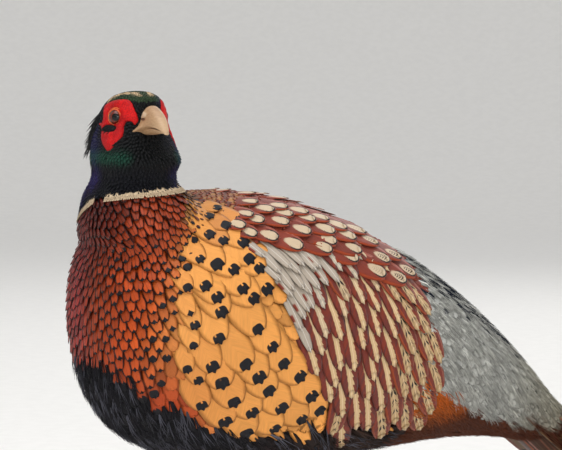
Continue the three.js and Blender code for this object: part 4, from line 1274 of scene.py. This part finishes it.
def build_wings():
    for hand, side in SIDES:
        rng = np.random.default_rng(51 + hand)
        plumes = Plumage(f"coat_wing_{side}", rng)
        long = wing_tips(rng, 12, 9.2, 25.0)
        long = long[long[:, 1] < read_off(GREY_FOOT, long[:, 0]) + 10]
        short = wing_tips(rng, 18, 5.6, 15.0)
        y, z = short.T
        short = short[(z > read_off(GREY_FOOT, y)) & (z < read_off(SHOULDER_FOOT, y) - 8)]
        for pairs in (long, short):
            y, z = pairs.T
            count = len(y)
            tips = side_places(pairs, hand)
            steep = np.radians(read_off(WING_STEEP, y) + 8 * step(-z, -235, -190))
            ways = np.stack([np.zeros(count), np.cos(steep), -np.sin(steep)], 1)
            if pairs is short:
                kind, length, width, rise, pointed = 0.0, 36.0, 8.4, 1.5, 0.5
                pattern_and_sheen = (rng.random(count) < 0.3) * 1.0
            else:
                kind = np.where(y > 66, 2.0, np.where(rng.random(count) < 0.07, 2.0, 1.0))
                length, width = 60.0, np.where(kind == 2, 17, 15.5)
                rise, pointed = 0.8 + 1.7 * step(y, 50, 84), 0.66
                pattern_and_sheen = step(z - read_off(GREY_FOOT, y), -34, 4)
            ways = turned(rng, ways, 0.03)
            plumes.vanes(
                tips, ways, length * rng.uniform(0.92, 1.08, count), width, "large", sunk=3.6,
                rise=rise, ground=np.tile(colour("chestnut"), (count, 1)), spot=kind, pattern_and_sheen=pattern_and_sheen,
                pointed=pointed, camber=0.08, twist=0.04 * hand,
            )
        plumes.make("wing_plumage", wing_finish(), (f"wing_{side}",))


def build_rump():
    rng = np.random.default_rng(61)
    plumes = Plumage("coat_rump", rng)
    points, _, ways, ground = seeds(rng, lambda z: z.rump & ~z.vent)
    count = len(points)
    top = step(points[:, 2] - read_off(RUMP_RIDGE, points[:, 1]), -12, 6)
    spot = np.where(rng.random(count) < 0.55 * top, 2.3, 0)
    plumes.undercoat(
        points, ways, ground, length=19, width=9.5, sunk=3.4, rise=0.2, spot=spot, edge=0.25
    )
    behind = step(points[:, 1] - read_off(WING_REAR, points[:, 2]), 0, 24)
    for _ in range(2):
        more = points + rng.normal(0, 2.2, points.shape)
        shade = varied(rng, ground, 0.7, 1.4)
        dark = (rng.random(count) < 0.5 * top)[:, None]
        shade = np.where(dark, tone(26, 32, 46), shade)
        ways_now, length = turned(rng, ways, 0.05), rng.uniform(13, 22, count)
        rise = 2.2 * behind - 0.9
        plumes.tufts(more, ways_now, length, shade, blades=5, fan=0.16, width=0.75, rise=rise)
    plumes.make("body_plumage", down_finish("rump plumage"))
    plumes = Plumage("coat_vent", rng)
    points, _, ways, ground = seeds(rng, lambda z: z.vent)
    plumes.undercoat(points, ways, ground, length=22, width=11, sunk=3.2, rise=0.2, edge=0.3)
    for _ in range(3):
        more = points + rng.normal(0, 2.6, points.shape)
        ways_now = turned(rng, ways, 0.08)
        plumes.tufts(more, ways_now, rng.uniform(16, 26, len(points)), ground, rise=1.6)
    plumes.make("body_plumage", down_finish("vent down"))


def build_neck():
    rng = np.random.default_rng(71)
    plumes = Plumage("coat_neck", rng)
    points, apart, ways, ground = seeds(rng, lambda z: z.upper & ~z.head)
    ways = turned(rng, ways, 0.05)
    # painted sheen: how much of it each feather on the sides of the neck carries, at random
    pattern_and_sheen = neck_side(points) * rng.random(len(points))
    plumes.vanes(
        points, ways, 3.0 * apart, 1.7 * apart, "fine", sunk=1.7, rise=0.4, ground=ground,
        pattern_and_sheen=pattern_and_sheen, pointed=0.5, camber=0.2,
    )
    plumes.make("neck_plumage", gloss_finish("neck plumage"))


def build_ring():
    rng = np.random.default_rng(91)
    plumes = Plumage("neck_ring", rng)
    for layer in range(RING_LAYERS):
        turn = np.linspace(-180, 180, RING_FEATHERS, endpoint=False)
        turn = turn + rng.normal(0, 0.5, RING_FEATHERS)
        turn = turn[(turn < RING_GAP[0]) | (turn > RING_GAP[1])]
        angle = np.radians(turn)
        out = np.stack([np.cos(angle), np.sin(angle), np.zeros(len(angle))], 1)
        start = out * 90 + [0, RING_PLACE[1], 0]
        height = read_off(RING_LINE, turn) - 0.6 - 1.0 * layer
        start[:, 2] = height + rng.uniform(-0.15, 0.15, len(turn))
        found = coat().met(start, -out)
        tips, normal = coat().nearest(found[~np.isnan(found[:, 0])])
        ways = laid_flat(np.array([0, 0, -1.0]), normal)
        ground = varied(rng, np.tile(colour("brow"), (len(tips), 1)), 0.88, 1.02)
        ways = turned(rng, ways, 0.05)
        plumes.vanes(
            tips, ways, length=6.0, width=1.9, grade="fine", sunk=1.2, rise=0.6, ground=ground,
            pointed=0.3, camber=0.04,
        )
    plumes.make("neck_plumage", down_finish("ring plumage", 0.12))


# ---- Head


def from_head_middle(p):
    return p - [HEAD_SHIFT, HEAD_Y, 0]


def face_inside(around, z):
    """How far inside the bare skin's outline each place is, in millimetres; less than 0 outside."""
    points = FACE_OUTLINE * [math.radians(GIRTH), 1]
    count = len(points)
    t = np.linspace(0, count, 8 * count, endpoint=False)
    i = t.astype(int)
    curve = through(*(points[(i + k) % count] for k in (-1, 0, 1, 2)), (t - i)[:, None])
    p = np.stack([around, z], 1)
    inside = np.zeros(len(p), bool)
    nearest = np.full(len(p), 1e9)
    for a, b in zip(curve, np.roll(curve, -1, axis=0)):
        edge = b - a
        t = np.clip(((p - a) @ edge) / (edge @ edge), 0, 1)
        nearest = np.minimum(nearest, np.linalg.norm(p - a - t[:, None] * edge, axis=1))
        crosses = (a[1] > p[:, 1]) != (b[1] > p[:, 1])
        at = a[0] + (p[:, 1] - a[1]) / (edge[1] if abs(edge[1]) > 1e-9 else 1e-9) * edge[0]
        inside ^= crosses & (p[:, 0] < at)
    return np.where(inside, nearest, -nearest)


def featherless(p):
    """Where the head carries no feathers: the bare skin of the face and the base of the bill."""
    x, y, z = from_head_middle(p).T
    y = np.abs(y)
    bare = (face_inside(GIRTH * np.arctan2(y, x), z) > 0.6) & (y > 9)
    return bare | (x > 17) & (y < read_off(JAW_HALF, z)) & (z < 342) & (z > 322)


def brow_share(p):
    """1 on the pale line over the bare skin, from the forehead to behind the eye."""
    x, y, z = from_head_middle(p).T
    wander = 0.8 * np.sin(0.9 * x) + 0.4 * np.sin(2.1 * x + 1)
    floor = 345 + 3 * step(x, 2, 14)
    near = np.exp(-(((np.abs(y) - 11.6 + 0.43 * x - wander) / 1.7) ** 2))
    near = near * step(z, floor, floor + 1.2)
    return np.clip(1.7 * near * step(x, -10, -4) * (1 - step(x, 15, 19)), 0, 1)


def build_head():
    rng = np.random.default_rng(81)
    plumes = Plumage("coat_head", rng)
    points, _, ways, ground = seeds(rng, lambda z: z.head & ~featherless(z.p))
    brow = brow_share(points)
    pale = varied(rng, np.tile(colour("brow"), (len(points), 1)), 0.7, 1.0) * [1, 0.94, 0.84]
    ground = mix(ground, pale, brow)
    # painted sheen on the sides of the head, none on the brow
    pattern_and_sheen = 0.35 * (1 - brow) * neck_side(points)
    ways = turned(rng, ways, 0.08)
    plumes.vanes(
        points, ways, length=6.4, width=3.4, grade="fine", sunk=1.3, rise=0.4, ground=ground,
        pattern_and_sheen=pattern_and_sheen, pointed=0.5, camber=0.2,
    )
    plumes.make("head_plumage", gloss_finish("head plumage"))
    tufts = Plumage("ear_tufts", rng)
    count = EAR_FEATHERS
    for hand, _ in SIDES:
        share = rng.random(count)
        x = HEAD_SHIFT + (-13 - 9 * share + rng.normal(0, 2.2, count))
        z = 341 - 22 * share + rng.normal(0, 1.5, count)
        found = coat().met(np.stack([x, 0 * z + HEAD_Y + hand * 60.0, z], 1), (0, -hand, 0))
        nape = np.stack([0 * z + HEAD_SHIFT - 24, 0 * z + HEAD_Y + hand * 14.0, z], 1)
        root = np.where(np.isnan(found), nape, found)
        away = unit(np.array([-0.48, hand * 0.24, -0.82]) + rng.normal(0, 0.13, (count, 3)))
        dark = np.tile(tone(20, 20, 24), (count, 1))
        tufts.free_blades(root - away * 2, away, rng.uniform(7, 14, count), 1.7, dark)
    tufts.make("head_plumage", gloss_finish("ear tuft plumage"))


def on_head(around, z, hand):
    """The ways out of the head at millimetres round it from the bill, and their places on it."""
    out = np.stack([np.cos(around / GIRTH), hand * np.sin(around / GIRTH), 0 * around], 1)
    start = np.stack([0 * z + HEAD_SHIFT, 0 * z + HEAD_Y, z], 1) + 60 * out
    return out, coat().met(start, -out)


def build_face():
    finish, lid = face_finish(), lid_finish()
    for hand, side in SIDES:
        eye = np.array([HEAD_SHIFT, HEAD_Y, 0]) + EYE_SEAT * [1, hand, 1]
        look = np.array([math.sin(EYE_TURN), hand * math.cos(EYE_TURN), 0])
        build_face_skin(hand, side, eye, look, finish)
        build_cheek_patch(hand, side)
        build_eye(hand, side, eye, look, lid)


def build_face_skin(hand, side, eye, look, finish):
    across, up = np.arange(5, 47.5, FACE_GRID), np.arange(311, 351.6, FACE_GRID)
    x, z = (grid.ravel() for grid in np.meshgrid(across, up))
    inside = face_inside(x, z)
    _, spots = on_head(x, z, hand)
    keep = (inside > -0.9) & ~np.isnan(spots[:, 0])
    ways = np.zeros((len(x), 3))
    ways[keep] = coat().nearest(spots[keep])[1]
    from_eye = np.linalg.norm(np.cross(spots - eye, look), axis=1)
    keep &= from_eye > 5.0
    rise = 1.7 * np.sqrt(np.clip(1 - (1 - np.clip(inside / 2.6, -0.3, 1)) ** 2, -1, 1)) - 0.8
    rise = np.where(inside < 0, -2.0, rise)
    fold = 0.32 * np.sin(0.9 * x + 0.7 * z) * np.sin(0.5 * z - 0.8 * x) * step(inside, 1, 4)
    grain = np.random.default_rng(7).normal(0, 0.06, len(x))
    hollow = -1.3 * np.exp(-(((from_eye - 6.0) / 1.5) ** 2))
    away = (np.stack([x, z], 1) - CHEEK_PATCH) / CHEEK_HOLLOW
    oval = (away**2).sum(1)
    sunk = 1.8 * step(np.exp(-1.2 * oval**2), 0.3, 0.6)
    verts = spots + ways * (rise + fold + grain + hollow - sunk)[:, None]
    index = np.cumsum(keep) - 1
    columns = len(across)
    faces = []
    for row in range(len(up) - 1):
        for a in range(row * columns, row * columns + columns - 1):
            corners = [a, a + 1, a + columns + 1, a + columns]
            if keep[corners].all():
                faces.append(index[corners[::hand]].tolist())
    piece = mesh_object(f"face_skin_{side}", verts[keep], faces)
    modify(piece, "SMOOTH", factor=0.5, iterations=2)
    modify(piece, "SOLIDIFY", thickness=0.0016, offset=-1)
    hand_in(piece, "face_skin", (f"wattle_{side}",), finish)


def build_cheek_patch(hand, side):
    """The small dark feathers in a hollow of the bare skin under the eye."""
    rng = np.random.default_rng(17)
    tuft = Plumage(f"cheek_patch_{side}", rng)
    count = CHEEK_FEATHERS
    turn, reach = rng.uniform(0, 2 * math.pi, count), rng.random(count) ** 0.5
    around = CHEEK_PATCH[0] + CHEEK_REACH[0] * reach * np.cos(turn)
    height = CHEEK_PATCH[1] + CHEEK_REACH[1] * reach * np.sin(turn)
    out, spots = on_head(around, height, hand)
    away = unit(np.array([-0.8, 0, -0.35]) + 0.28 * out + rng.normal(0, 0.1, (count, 3)))
    dark = np.tile(tone(30, 27, 30), (count, 1))
    tuft.free_blades(spots + 0.3 * out, away, rng.uniform(2.4, 4, count), 0.9, dark)
    tuft.make("head_plumage", gloss_finish("cheek patch plumage", 0.55))


def build_eye(hand, side, eye, look, lid):
    bpy.ops.object.select_all(action="DESELECT")
    turn = Vector(look).to_track_quat("Z", "Y")
    centre, facing, radius = place_in_world(eye), turn.to_euler(), sizes().eye_radius
    bpy.ops.mesh.primitive_uv_sphere_add(
        segments=48, ring_count=32, radius=radius, location=centre, rotation=facing
    )
    ball = bpy.context.view_layer.objects.active
    ball.name = ball.data.name = f"eyeball_{side}"
    # the iris looks where the bird looks, and the clear front bulges a little from the ball
    turns = []
    gaze = Vector((math.sin(GAZE_TURN), hand * math.cos(GAZE_TURN), 0))
    gaze.rotate(turn.inverted())
    for vert in ball.data.vertices:
        angle = math.acos(max(-1, min(1, vert.co.z / radius)))
        turns.append((gaze.angle(vert.co), math.atan2(vert.co.y, vert.co.x) / math.pi, 0))
        vert.co *= 1 + 0.07 * math.exp(-((angle / 0.75) ** 4))
    set_attribute(ball, "turn", turns)
    bpy.ops.object.transform_apply(location=True, rotation=True, scale=True)
    hand_in(ball, "eye_dark", (f"eye_{side}",), eye_finish())
    rings = []
    for major, minor, ahead in LIDS:
        bpy.ops.object.select_all(action="DESELECT")
        bpy.ops.mesh.primitive_torus_add(
            major_segments=64,
            minor_segments=12,
            major_radius=major * MM,
            minor_radius=minor * MM,
            location=place_in_world(eye + look * ahead),
            rotation=facing,
        )
        ring = bpy.context.view_layer.objects.active
        for vert in ring.data.vertices:
            around = math.atan2(vert.co.y, vert.co.x)
            wrinkle = 1 + 0.018 * math.sin(23 * around) + 0.012 * math.sin(41 * around + 1)
            vert.co.x *= wrinkle
            vert.co.y *= wrinkle * 0.97
        bpy.ops.object.transform_apply(location=True, rotation=True, scale=True)
        rings.append(ring)
    ring = joined(rings)
    ring.name = ring.data.name = f"lid_{side}"
    hand_in(ring, "face_skin", (), lid)


def jaw(table, upper):
    def points(angle, share):
        x, top, bottom, half, corner = smooth_rows(table, share).T
        closed = np.where((share <= 0) | (share >= 1), 0.02, 1.0)
        across, up = np.cos(angle), np.sin(angle)
        middle = bottom + 0.1 * (top - bottom) if upper else top - 0.2 * (top - bottom)
        reach = np.where(up > 0, top - middle, middle - bottom) * closed
        # the upper jaw narrows to its ridge, the lower one is a shallow trough
        power = np.where(up > 0, 0.82, 0.5) if upper else np.where(up > 0, 0.4, 0.75)
        height = signed_power(up, 0.8)
        y = half * closed * signed_power(across, power)
        lip = np.abs(across) ** 0.3 * corner * np.exp(-np.abs(height) / 0.22)
        y = y + np.sign(across) * closed * lip
        if upper:
            # the swollen, paler cover of the nostril
            cover = np.exp(-(((x - 27) / 3.4) ** 2)) * np.exp(-(((height - 0.66) / 0.26) ** 2))
            y = y + np.sign(across) * 1.2 * cover
        return np.stack([HEAD_SHIFT + x, HEAD_Y + y, middle + reach * height], 1)

    return points


def build_bill():
    finish = bill_finish()
    for part, table in (("upper", UPPER_BILL), ("lower", LOWER_BILL)):
        verts, faces = tube(jaw(table, part == "upper"), 64, 70)
        if part == "upper":
            for hand, _ in SIDES:
                hole = [HEAD_SHIFT + NOSTRIL[0], HEAD_Y + hand * NOSTRIL[1], NOSTRIL[2]]
                away = (verts - hole) / [2.4, 2.6, 1.0]
                verts[:, 1] -= hand * 1.8 * np.exp(-((away**2).sum(1) ** 1.5))
        piece = mesh_object(f"{part}_bill", verts, faces)
        outward(piece)
        modify(piece, "SMOOTH", factor=0.5, iterations=2)
        modify(piece, "SUBSURF", levels=1, render_levels=1)
        x, y, z = from_head_middle((numbers(piece.data.vertices, "co") - OFFSET) / MM).T
        set_attribute(piece, "place", np.stack([x, z, y], 1))
        hand_in(piece, "bill_horn", (f"bill_{part}",), finish)


# ---- Tail and legs


def tail_points(x, distance, rise):
    """Points of the tail, sideways by x and square to its middle line by rise."""
    distance = np.asarray(distance, float)
    straight = np.minimum(distance, TAIL_STRAIGHT)
    bent = np.clip(distance - TAIL_STRAIGHT, 0, TAIL_BEND)
    level = np.maximum(0, distance - TAIL_STRAIGHT - TAIL_BEND)
    radius = TAIL_BEND / TAIL_SLOPE
    slope = TAIL_SLOPE - bent / radius
    y = TAIL_ROOT[0] + straight * math.cos(TAIL_SLOPE)
    y = y + radius * (math.sin(TAIL_SLOPE) - np.sin(slope)) + level
    z = TAIL_ROOT[1] - straight * math.sin(TAIL_SLOPE)
    z = z - radius * (np.cos(slope) - math.cos(TAIL_SLOPE))
    return np.stack(np.broadcast_arrays(x, y + rise * np.sin(slope), z + rise * np.cos(slope)), -1)


def roof(x, distance):
    return 0.3 * np.abs(x) * np.clip(1 - distance / 416, 0, 1)


def add_tail_vane(plumes, surface, height, columns, length, width, spot, ground):
    """Adds one feather from a grid over surface(across, along), thickest along its middle."""
    along, across = np.linspace(0, 1, height) ** 0.9, np.linspace(-1, 1, columns)
    along, u = np.meshgrid(along, across, indexing="ij")
    verts = surface(u, along)[None]
    normal = unit(np.cross(np.gradient(verts, axis=2), np.gradient(verts, axis=1)))
    verts = verts + normal * (0.35 * (1 - u**2))[None, ..., None]
    roots, spare = verts[:, 0, columns // 2], plumes.rng.random(1)
    plumes.add(verts, u, along, u * width, roots, length, ground[None], spot, spare=spare)


def long_feather(hand, pair, share, length):
    layer = 0 if pair == 0 and hand > 0 else pair + 1

    def surface(across, along):
        distance = length * along
        middle = 5.5 + 1.5 * pair + 0.008 * pair * distance
        width = 16 * (1 - 0.2 * share) * blade(along, 0.82 - 0.3 * share, 0.45)
        inner = middle - width if pair == 0 else np.maximum(0.5, middle - width)
        outer = np.maximum(middle + width, inner + 2)
        x = inner + (outer - inner) * (across * hand + 1) / 2
        return tail_points(hand * x, distance, -1.2 * layer - roof(x, distance))

    return surface


def tail_covert(turn, reach, layer):
    def surface(across, along):
        angle = turn + 0.26 * blade(0.25 + 0.75 * along, 0.6) * across
        distance = 34 + reach * along
        x = (20 + 3 * along) * np.sin(angle)
        up = np.cos(angle)
        before = np.where(up > 0, 15 * up, 22 * up) * (0.84 + 0.2 * step(distance, 34, 72))
        after = np.where(up > 0, 3 * up, 22 * up) - roof(x, distance)
        blend = step(distance, 54, 128)
        lift = np.sign(up) * (0.5 + 0.35 * layer)
        return tail_points(x, distance, before * (1 - blend) + after * blend + lift)

    return surface


def build_tail():
    rng = np.random.default_rng(101)
    plumes = Plumage("tail_feathers", rng)
    for pair in range(TAIL_PAIRS - 1, -1, -1):
        share = pair / (TAIL_PAIRS - 1)
        length = TAIL_LENGTH * (1 - 0.74 * share**0.8)
        ground = colour("tail") * (1 - 0.35 * share)
        for hand, _ in SIDES:
            surface = long_feather(hand, pair, share, length)
            add_tail_vane(plumes, surface, 34, 9, length, 14, 13.0 + 5 * share, ground)
    for count, middle, spread, spot, ground in (
        (15, 0, 2.4, 9.0, tone(128, 112, 78)),
        (11, math.pi, 2.0, 0, tone(66, 40, 26)),
    ):
        for k in range(count):
            turn = (k / (count - 1) - 0.5) * spread + middle
            reach = 104 * (0.6 + 0.4 * math.cos(turn) ** 2) * rng.uniform(0.8, 1.1)
            surface = tail_covert(turn, reach, k % 3)
            shade = ground * rng.uniform(0.8, 1.15)
            add_tail_vane(plumes, surface, 12, 7, reach, 7, spot, shade)
    plumes.make("tail_plumage", tail_finish(), ("tail",))


def build_legs():
    leg, claw = leg_finish(), claw_finish()
    parts = [("shank", "skin", 0.8, 3), ("foot", "skin", 0.8, 4), ("spur", "horn", 0.35, 5)]
    parts += [(f"claw_{toe}", "horn", 0.35, 5) for toe in ("inner", "middle", "outer", "hind")]
    for _, side in SIDES:
        for part, cover, voxel, rounds in parts:
            node = f"{part}_{side}"
            piece = mesh_copy(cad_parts[node], f"{part}_{cover}_{side}")
            for key in list(piece.keys()):
                del piece[key]
            piece.parent = None
            outward(piece)
            modify(piece, "REMESH", mode="VOXEL", voxel_size=voxel * MM)
            modify(piece, "SMOOTH", factor=0.5, iterations=rounds)
            slot, finish = ("leg_scale", leg) if cover == "skin" else ("claw_horn", claw)
            hand_in(piece, slot, (node,), finish)


# ---- Stage

WORLD_COLOUR, WORLD_STRENGTH = (0.86, 0.88, 0.92, 1), 0.85
FLOOR_FLAT, FLOOR_CURVE, FLOOR_WALL, FLOOR_SIDES = 4.5, 2.5, 6.0, 64
CAMERA_TARGET = (6.3, 10.9, 260.9)
CAMERA_TURN, CAMERA_RISE = math.radians(60), math.radians(3)
VIEW_WIDTH, SENSOR = 0.3876, 36
LIGHTS = (
    ("sky_light", (0.5, -0.8, 2.7), 2.2, 46),
    ("front_light", (2.4, -2.0, 1.5), 1.6, 6),
    ("back_light", (-1.8, 1.8, 1.8), 1.6, 14),
    ("eye_light", (1.567, -0.711, 0.495), 0.26, 4.6),
)


def build_floor():
    """A wide round floor whose rim rises in a curve, so that no horizon shows."""
    rim = FLOOR_FLAT + FLOOR_CURVE
    profile = [(2.0, 0.0), (FLOOR_FLAT, 0.0)]
    for t in np.linspace(0.1, math.pi / 2, 14):
        profile.append((FLOOR_FLAT + FLOOR_CURVE * math.sin(t), FLOOR_CURVE * (1 - math.cos(t))))
    profile += [(rim, 4.0), (rim, FLOOR_WALL)]
    turns = [k * 2 * math.pi / FLOOR_SIDES for k in range(FLOOR_SIDES)]
    verts = [(reach * math.cos(t), reach * math.sin(t), z) for reach, z in profile for t in turns]
    faces = [tuple(range(FLOOR_SIDES))]
    for row in range(len(profile) - 1):
        for k in range(FLOOR_SIDES):
            a, b = row * FLOOR_SIDES + k, row * FLOOR_SIDES + (k + 1) % FLOOR_SIDES
            faces.append((b, a, a + FLOOR_SIDES, b + FLOOR_SIDES))
    floor = add_mesh("studio_floor", verts, faces)
    choose(floor)
    bpy.ops.object.shade_smooth()
    paper = Finish("studio paper", 0.9)
    speck = paper.noise(paper.object_place(), 60.0)
    paper.paint(paper.mix(speck.ramp(0.3, 0.7), tone(236, 234, 230), tone(239, 237, 233)))
    floor.data.materials.append(paper.material)


def build_stage():
    world = bpy.data.worlds.new("studio")
    bpy.context.scene.world = world
    world.use_nodes = True
    world.node_tree.nodes["Background"].inputs[0].default_value = WORLD_COLOUR
    world.node_tree.nodes["Background"].inputs[1].default_value = WORLD_STRENGTH
    bpy.context.scene.view_settings.view_transform = "Standard"
    build_floor()
    target = Vector(place_in_world(CAMERA_TARGET))
    level = math.cos(CAMERA_RISE)
    way = Vector(
        (math.sin(CAMERA_TURN) * level, -math.cos(CAMERA_TURN) * level, math.sin(CAMERA_RISE))
    )
    distance = sizes().camera_distance
    facing = way.to_track_quat("Z", "Y").to_euler()
    bpy.ops.object.camera_add(location=target + way * distance, rotation=facing)
    camera = bpy.context.view_layer.objects.active
    camera.name = "camera"
    camera.data.lens = SENSOR * distance / VIEW_WIDTH
    camera.data.clip_end = 30
    bpy.context.scene.camera = camera
    for name, place, size, power in LIGHTS:
        bpy.ops.object.light_add(type="AREA", location=place)
        light = bpy.context.view_layer.objects.active
        light.name = name
        light.data.size = size
        light.data.energy = power
        light.rotation_euler = (Vector(place) - target).to_track_quat("Z", "Y").to_euler()


# ---- Operators and panel


class PHEASANT_OT_stage(bpy.types.Operator):
    """Adds the floor, the lights and the camera"""

    bl_idname = "pheasant.stage"
    bl_label = "Stage"

    def execute(self, context):
        build_stage()
        return {"FINISHED"}


class PHEASANT_OT_skin(bpy.types.Operator):
    """Makes one skin over head, neck, torso and thighs"""

    bl_idname = "pheasant.skin"
    bl_label = "Skin"

    def execute(self, context):
        build_skin()
        return {"FINISHED"}


class PHEASANT_OT_breast(bpy.types.Operator):
    """Lays the small feathers of breast and flanks"""

    bl_idname = "pheasant.breast"
    bl_label = "Breast"

    def execute(self, context):
        build_breast()
        return {"FINISHED"}


class PHEASANT_OT_flanks(bpy.types.Operator):
    """Lays the large spotted feathers of the flanks"""

    bl_idname = "pheasant.flanks"
    bl_label = "Flanks"

    def execute(self, context):
        build_flanks()
        return {"FINISHED"}


class PHEASANT_OT_belly(bpy.types.Operator):
    """Lays the down of belly and thighs"""

    bl_idname = "pheasant.belly"
    bl_label = "Belly"

    def execute(self, context):
        build_belly()
        return {"FINISHED"}


class PHEASANT_OT_shoulders(bpy.types.Operator):
    """Lays the drop-marked feathers of the back and shoulders"""

    bl_idname = "pheasant.shoulders"
    bl_label = "Shoulders"

    def execute(self, context):
        build_shoulders()
        return {"FINISHED"}


class PHEASANT_OT_wings(bpy.types.Operator):
    """Lays the coverts and flight feathers of both wings"""

    bl_idname = "pheasant.wings"
    bl_label = "Wings"

    def execute(self, context):
        build_wings()
        return {"FINISHED"}


class PHEASANT_OT_rump(bpy.types.Operator):
    """Lays the loose feathers of the rump"""

    bl_idname = "pheasant.rump"
    bl_label = "Rump"

    def execute(self, context):
        build_rump()
        return {"FINISHED"}


class PHEASANT_OT_neck(bpy.types.Operator):
    """Lays the glossy feathers of the neck"""

    bl_idname = "pheasant.neck"
    bl_label = "Neck"

    def execute(self, context):
        build_neck()
        return {"FINISHED"}


class PHEASANT_OT_ring(bpy.types.Operator):
    """Lays the pale ring at the foot of the neck"""

    bl_idname = "pheasant.ring"
    bl_label = "Neck ring"

    def execute(self, context):
        build_ring()
        return {"FINISHED"}


class PHEASANT_OT_head(bpy.types.Operator):
    """Lays the feathers of the head and the ear tufts"""

    bl_idname = "pheasant.head"
    bl_label = "Head"

    def execute(self, context):
        build_head()
        return {"FINISHED"}


class PHEASANT_OT_face(bpy.types.Operator):
    """Makes the bare red skin, the lids and the eyes"""

    bl_idname = "pheasant.face"
    bl_label = "Face"

    def execute(self, context):
        build_face()
        return {"FINISHED"}


class PHEASANT_OT_bill(bpy.types.Operator):
    """Makes both jaws"""

    bl_idname = "pheasant.bill"
    bl_label = "Bill"

    def execute(self, context):
        build_bill()
        return {"FINISHED"}


class PHEASANT_OT_tail(bpy.types.Operator):
    """Lays the tail feathers and their coverts"""

    bl_idname = "pheasant.tail"
    bl_label = "Tail"

    def execute(self, context):
        build_tail()
        return {"FINISHED"}


class PHEASANT_OT_legs(bpy.types.Operator):
    """Makes the scaled legs, feet, claws and spurs"""

    bl_idname = "pheasant.legs"
    bl_label = "Legs"

    def execute(self, context):
        build_legs()
        return {"FINISHED"}


OPERATORS = (
    PHEASANT_OT_stage,
    PHEASANT_OT_skin,
    PHEASANT_OT_breast,
    PHEASANT_OT_flanks,
    PHEASANT_OT_belly,
    PHEASANT_OT_shoulders,
    PHEASANT_OT_wings,
    PHEASANT_OT_rump,
    PHEASANT_OT_neck,
    PHEASANT_OT_ring,
    PHEASANT_OT_head,
    PHEASANT_OT_face,
    PHEASANT_OT_bill,
    PHEASANT_OT_tail,
    PHEASANT_OT_legs,
)


class PHEASANT_PT_panel(bpy.types.Panel):
    """The bird's pieces, in the order in which they are made"""

    bl_idname = "PHEASANT_PT_panel"
    bl_label = "Pheasant"
    bl_space_type = "VIEW_3D"
    bl_region_type = "UI"
    bl_category = "Pheasant"

    def draw(self, context):
        for group in (context.scene.pheasant_sizes, context.scene.pheasant_colours):
            for name in group.__annotations__:
                self.layout.prop(group, name)
        for operator in OPERATORS:
            self.layout.operator(operator.bl_idname)


CLASSES = (PheasantSizes, PheasantColours, *OPERATORS, PHEASANT_PT_panel)


def register():
    for kind in CLASSES:
        bpy.utils.register_class(kind)
    bpy.types.Scene.pheasant_sizes = bpy.props.PointerProperty(type=PheasantSizes)
    bpy.types.Scene.pheasant_colours = bpy.props.PointerProperty(type=PheasantColours)


def unregister():
    del bpy.types.Scene.pheasant_colours
    del bpy.types.Scene.pheasant_sizes
    for kind in reversed(CLASSES):
        bpy.utils.unregister_class(kind)


def main():
    register()
    for operator in OPERATORS:
        group, name = operator.bl_idname.split(".")
        getattr(getattr(bpy.ops, group), name)()
    bpy.data.objects.remove(coat().piece)


if __name__ == "__main__":
    main()
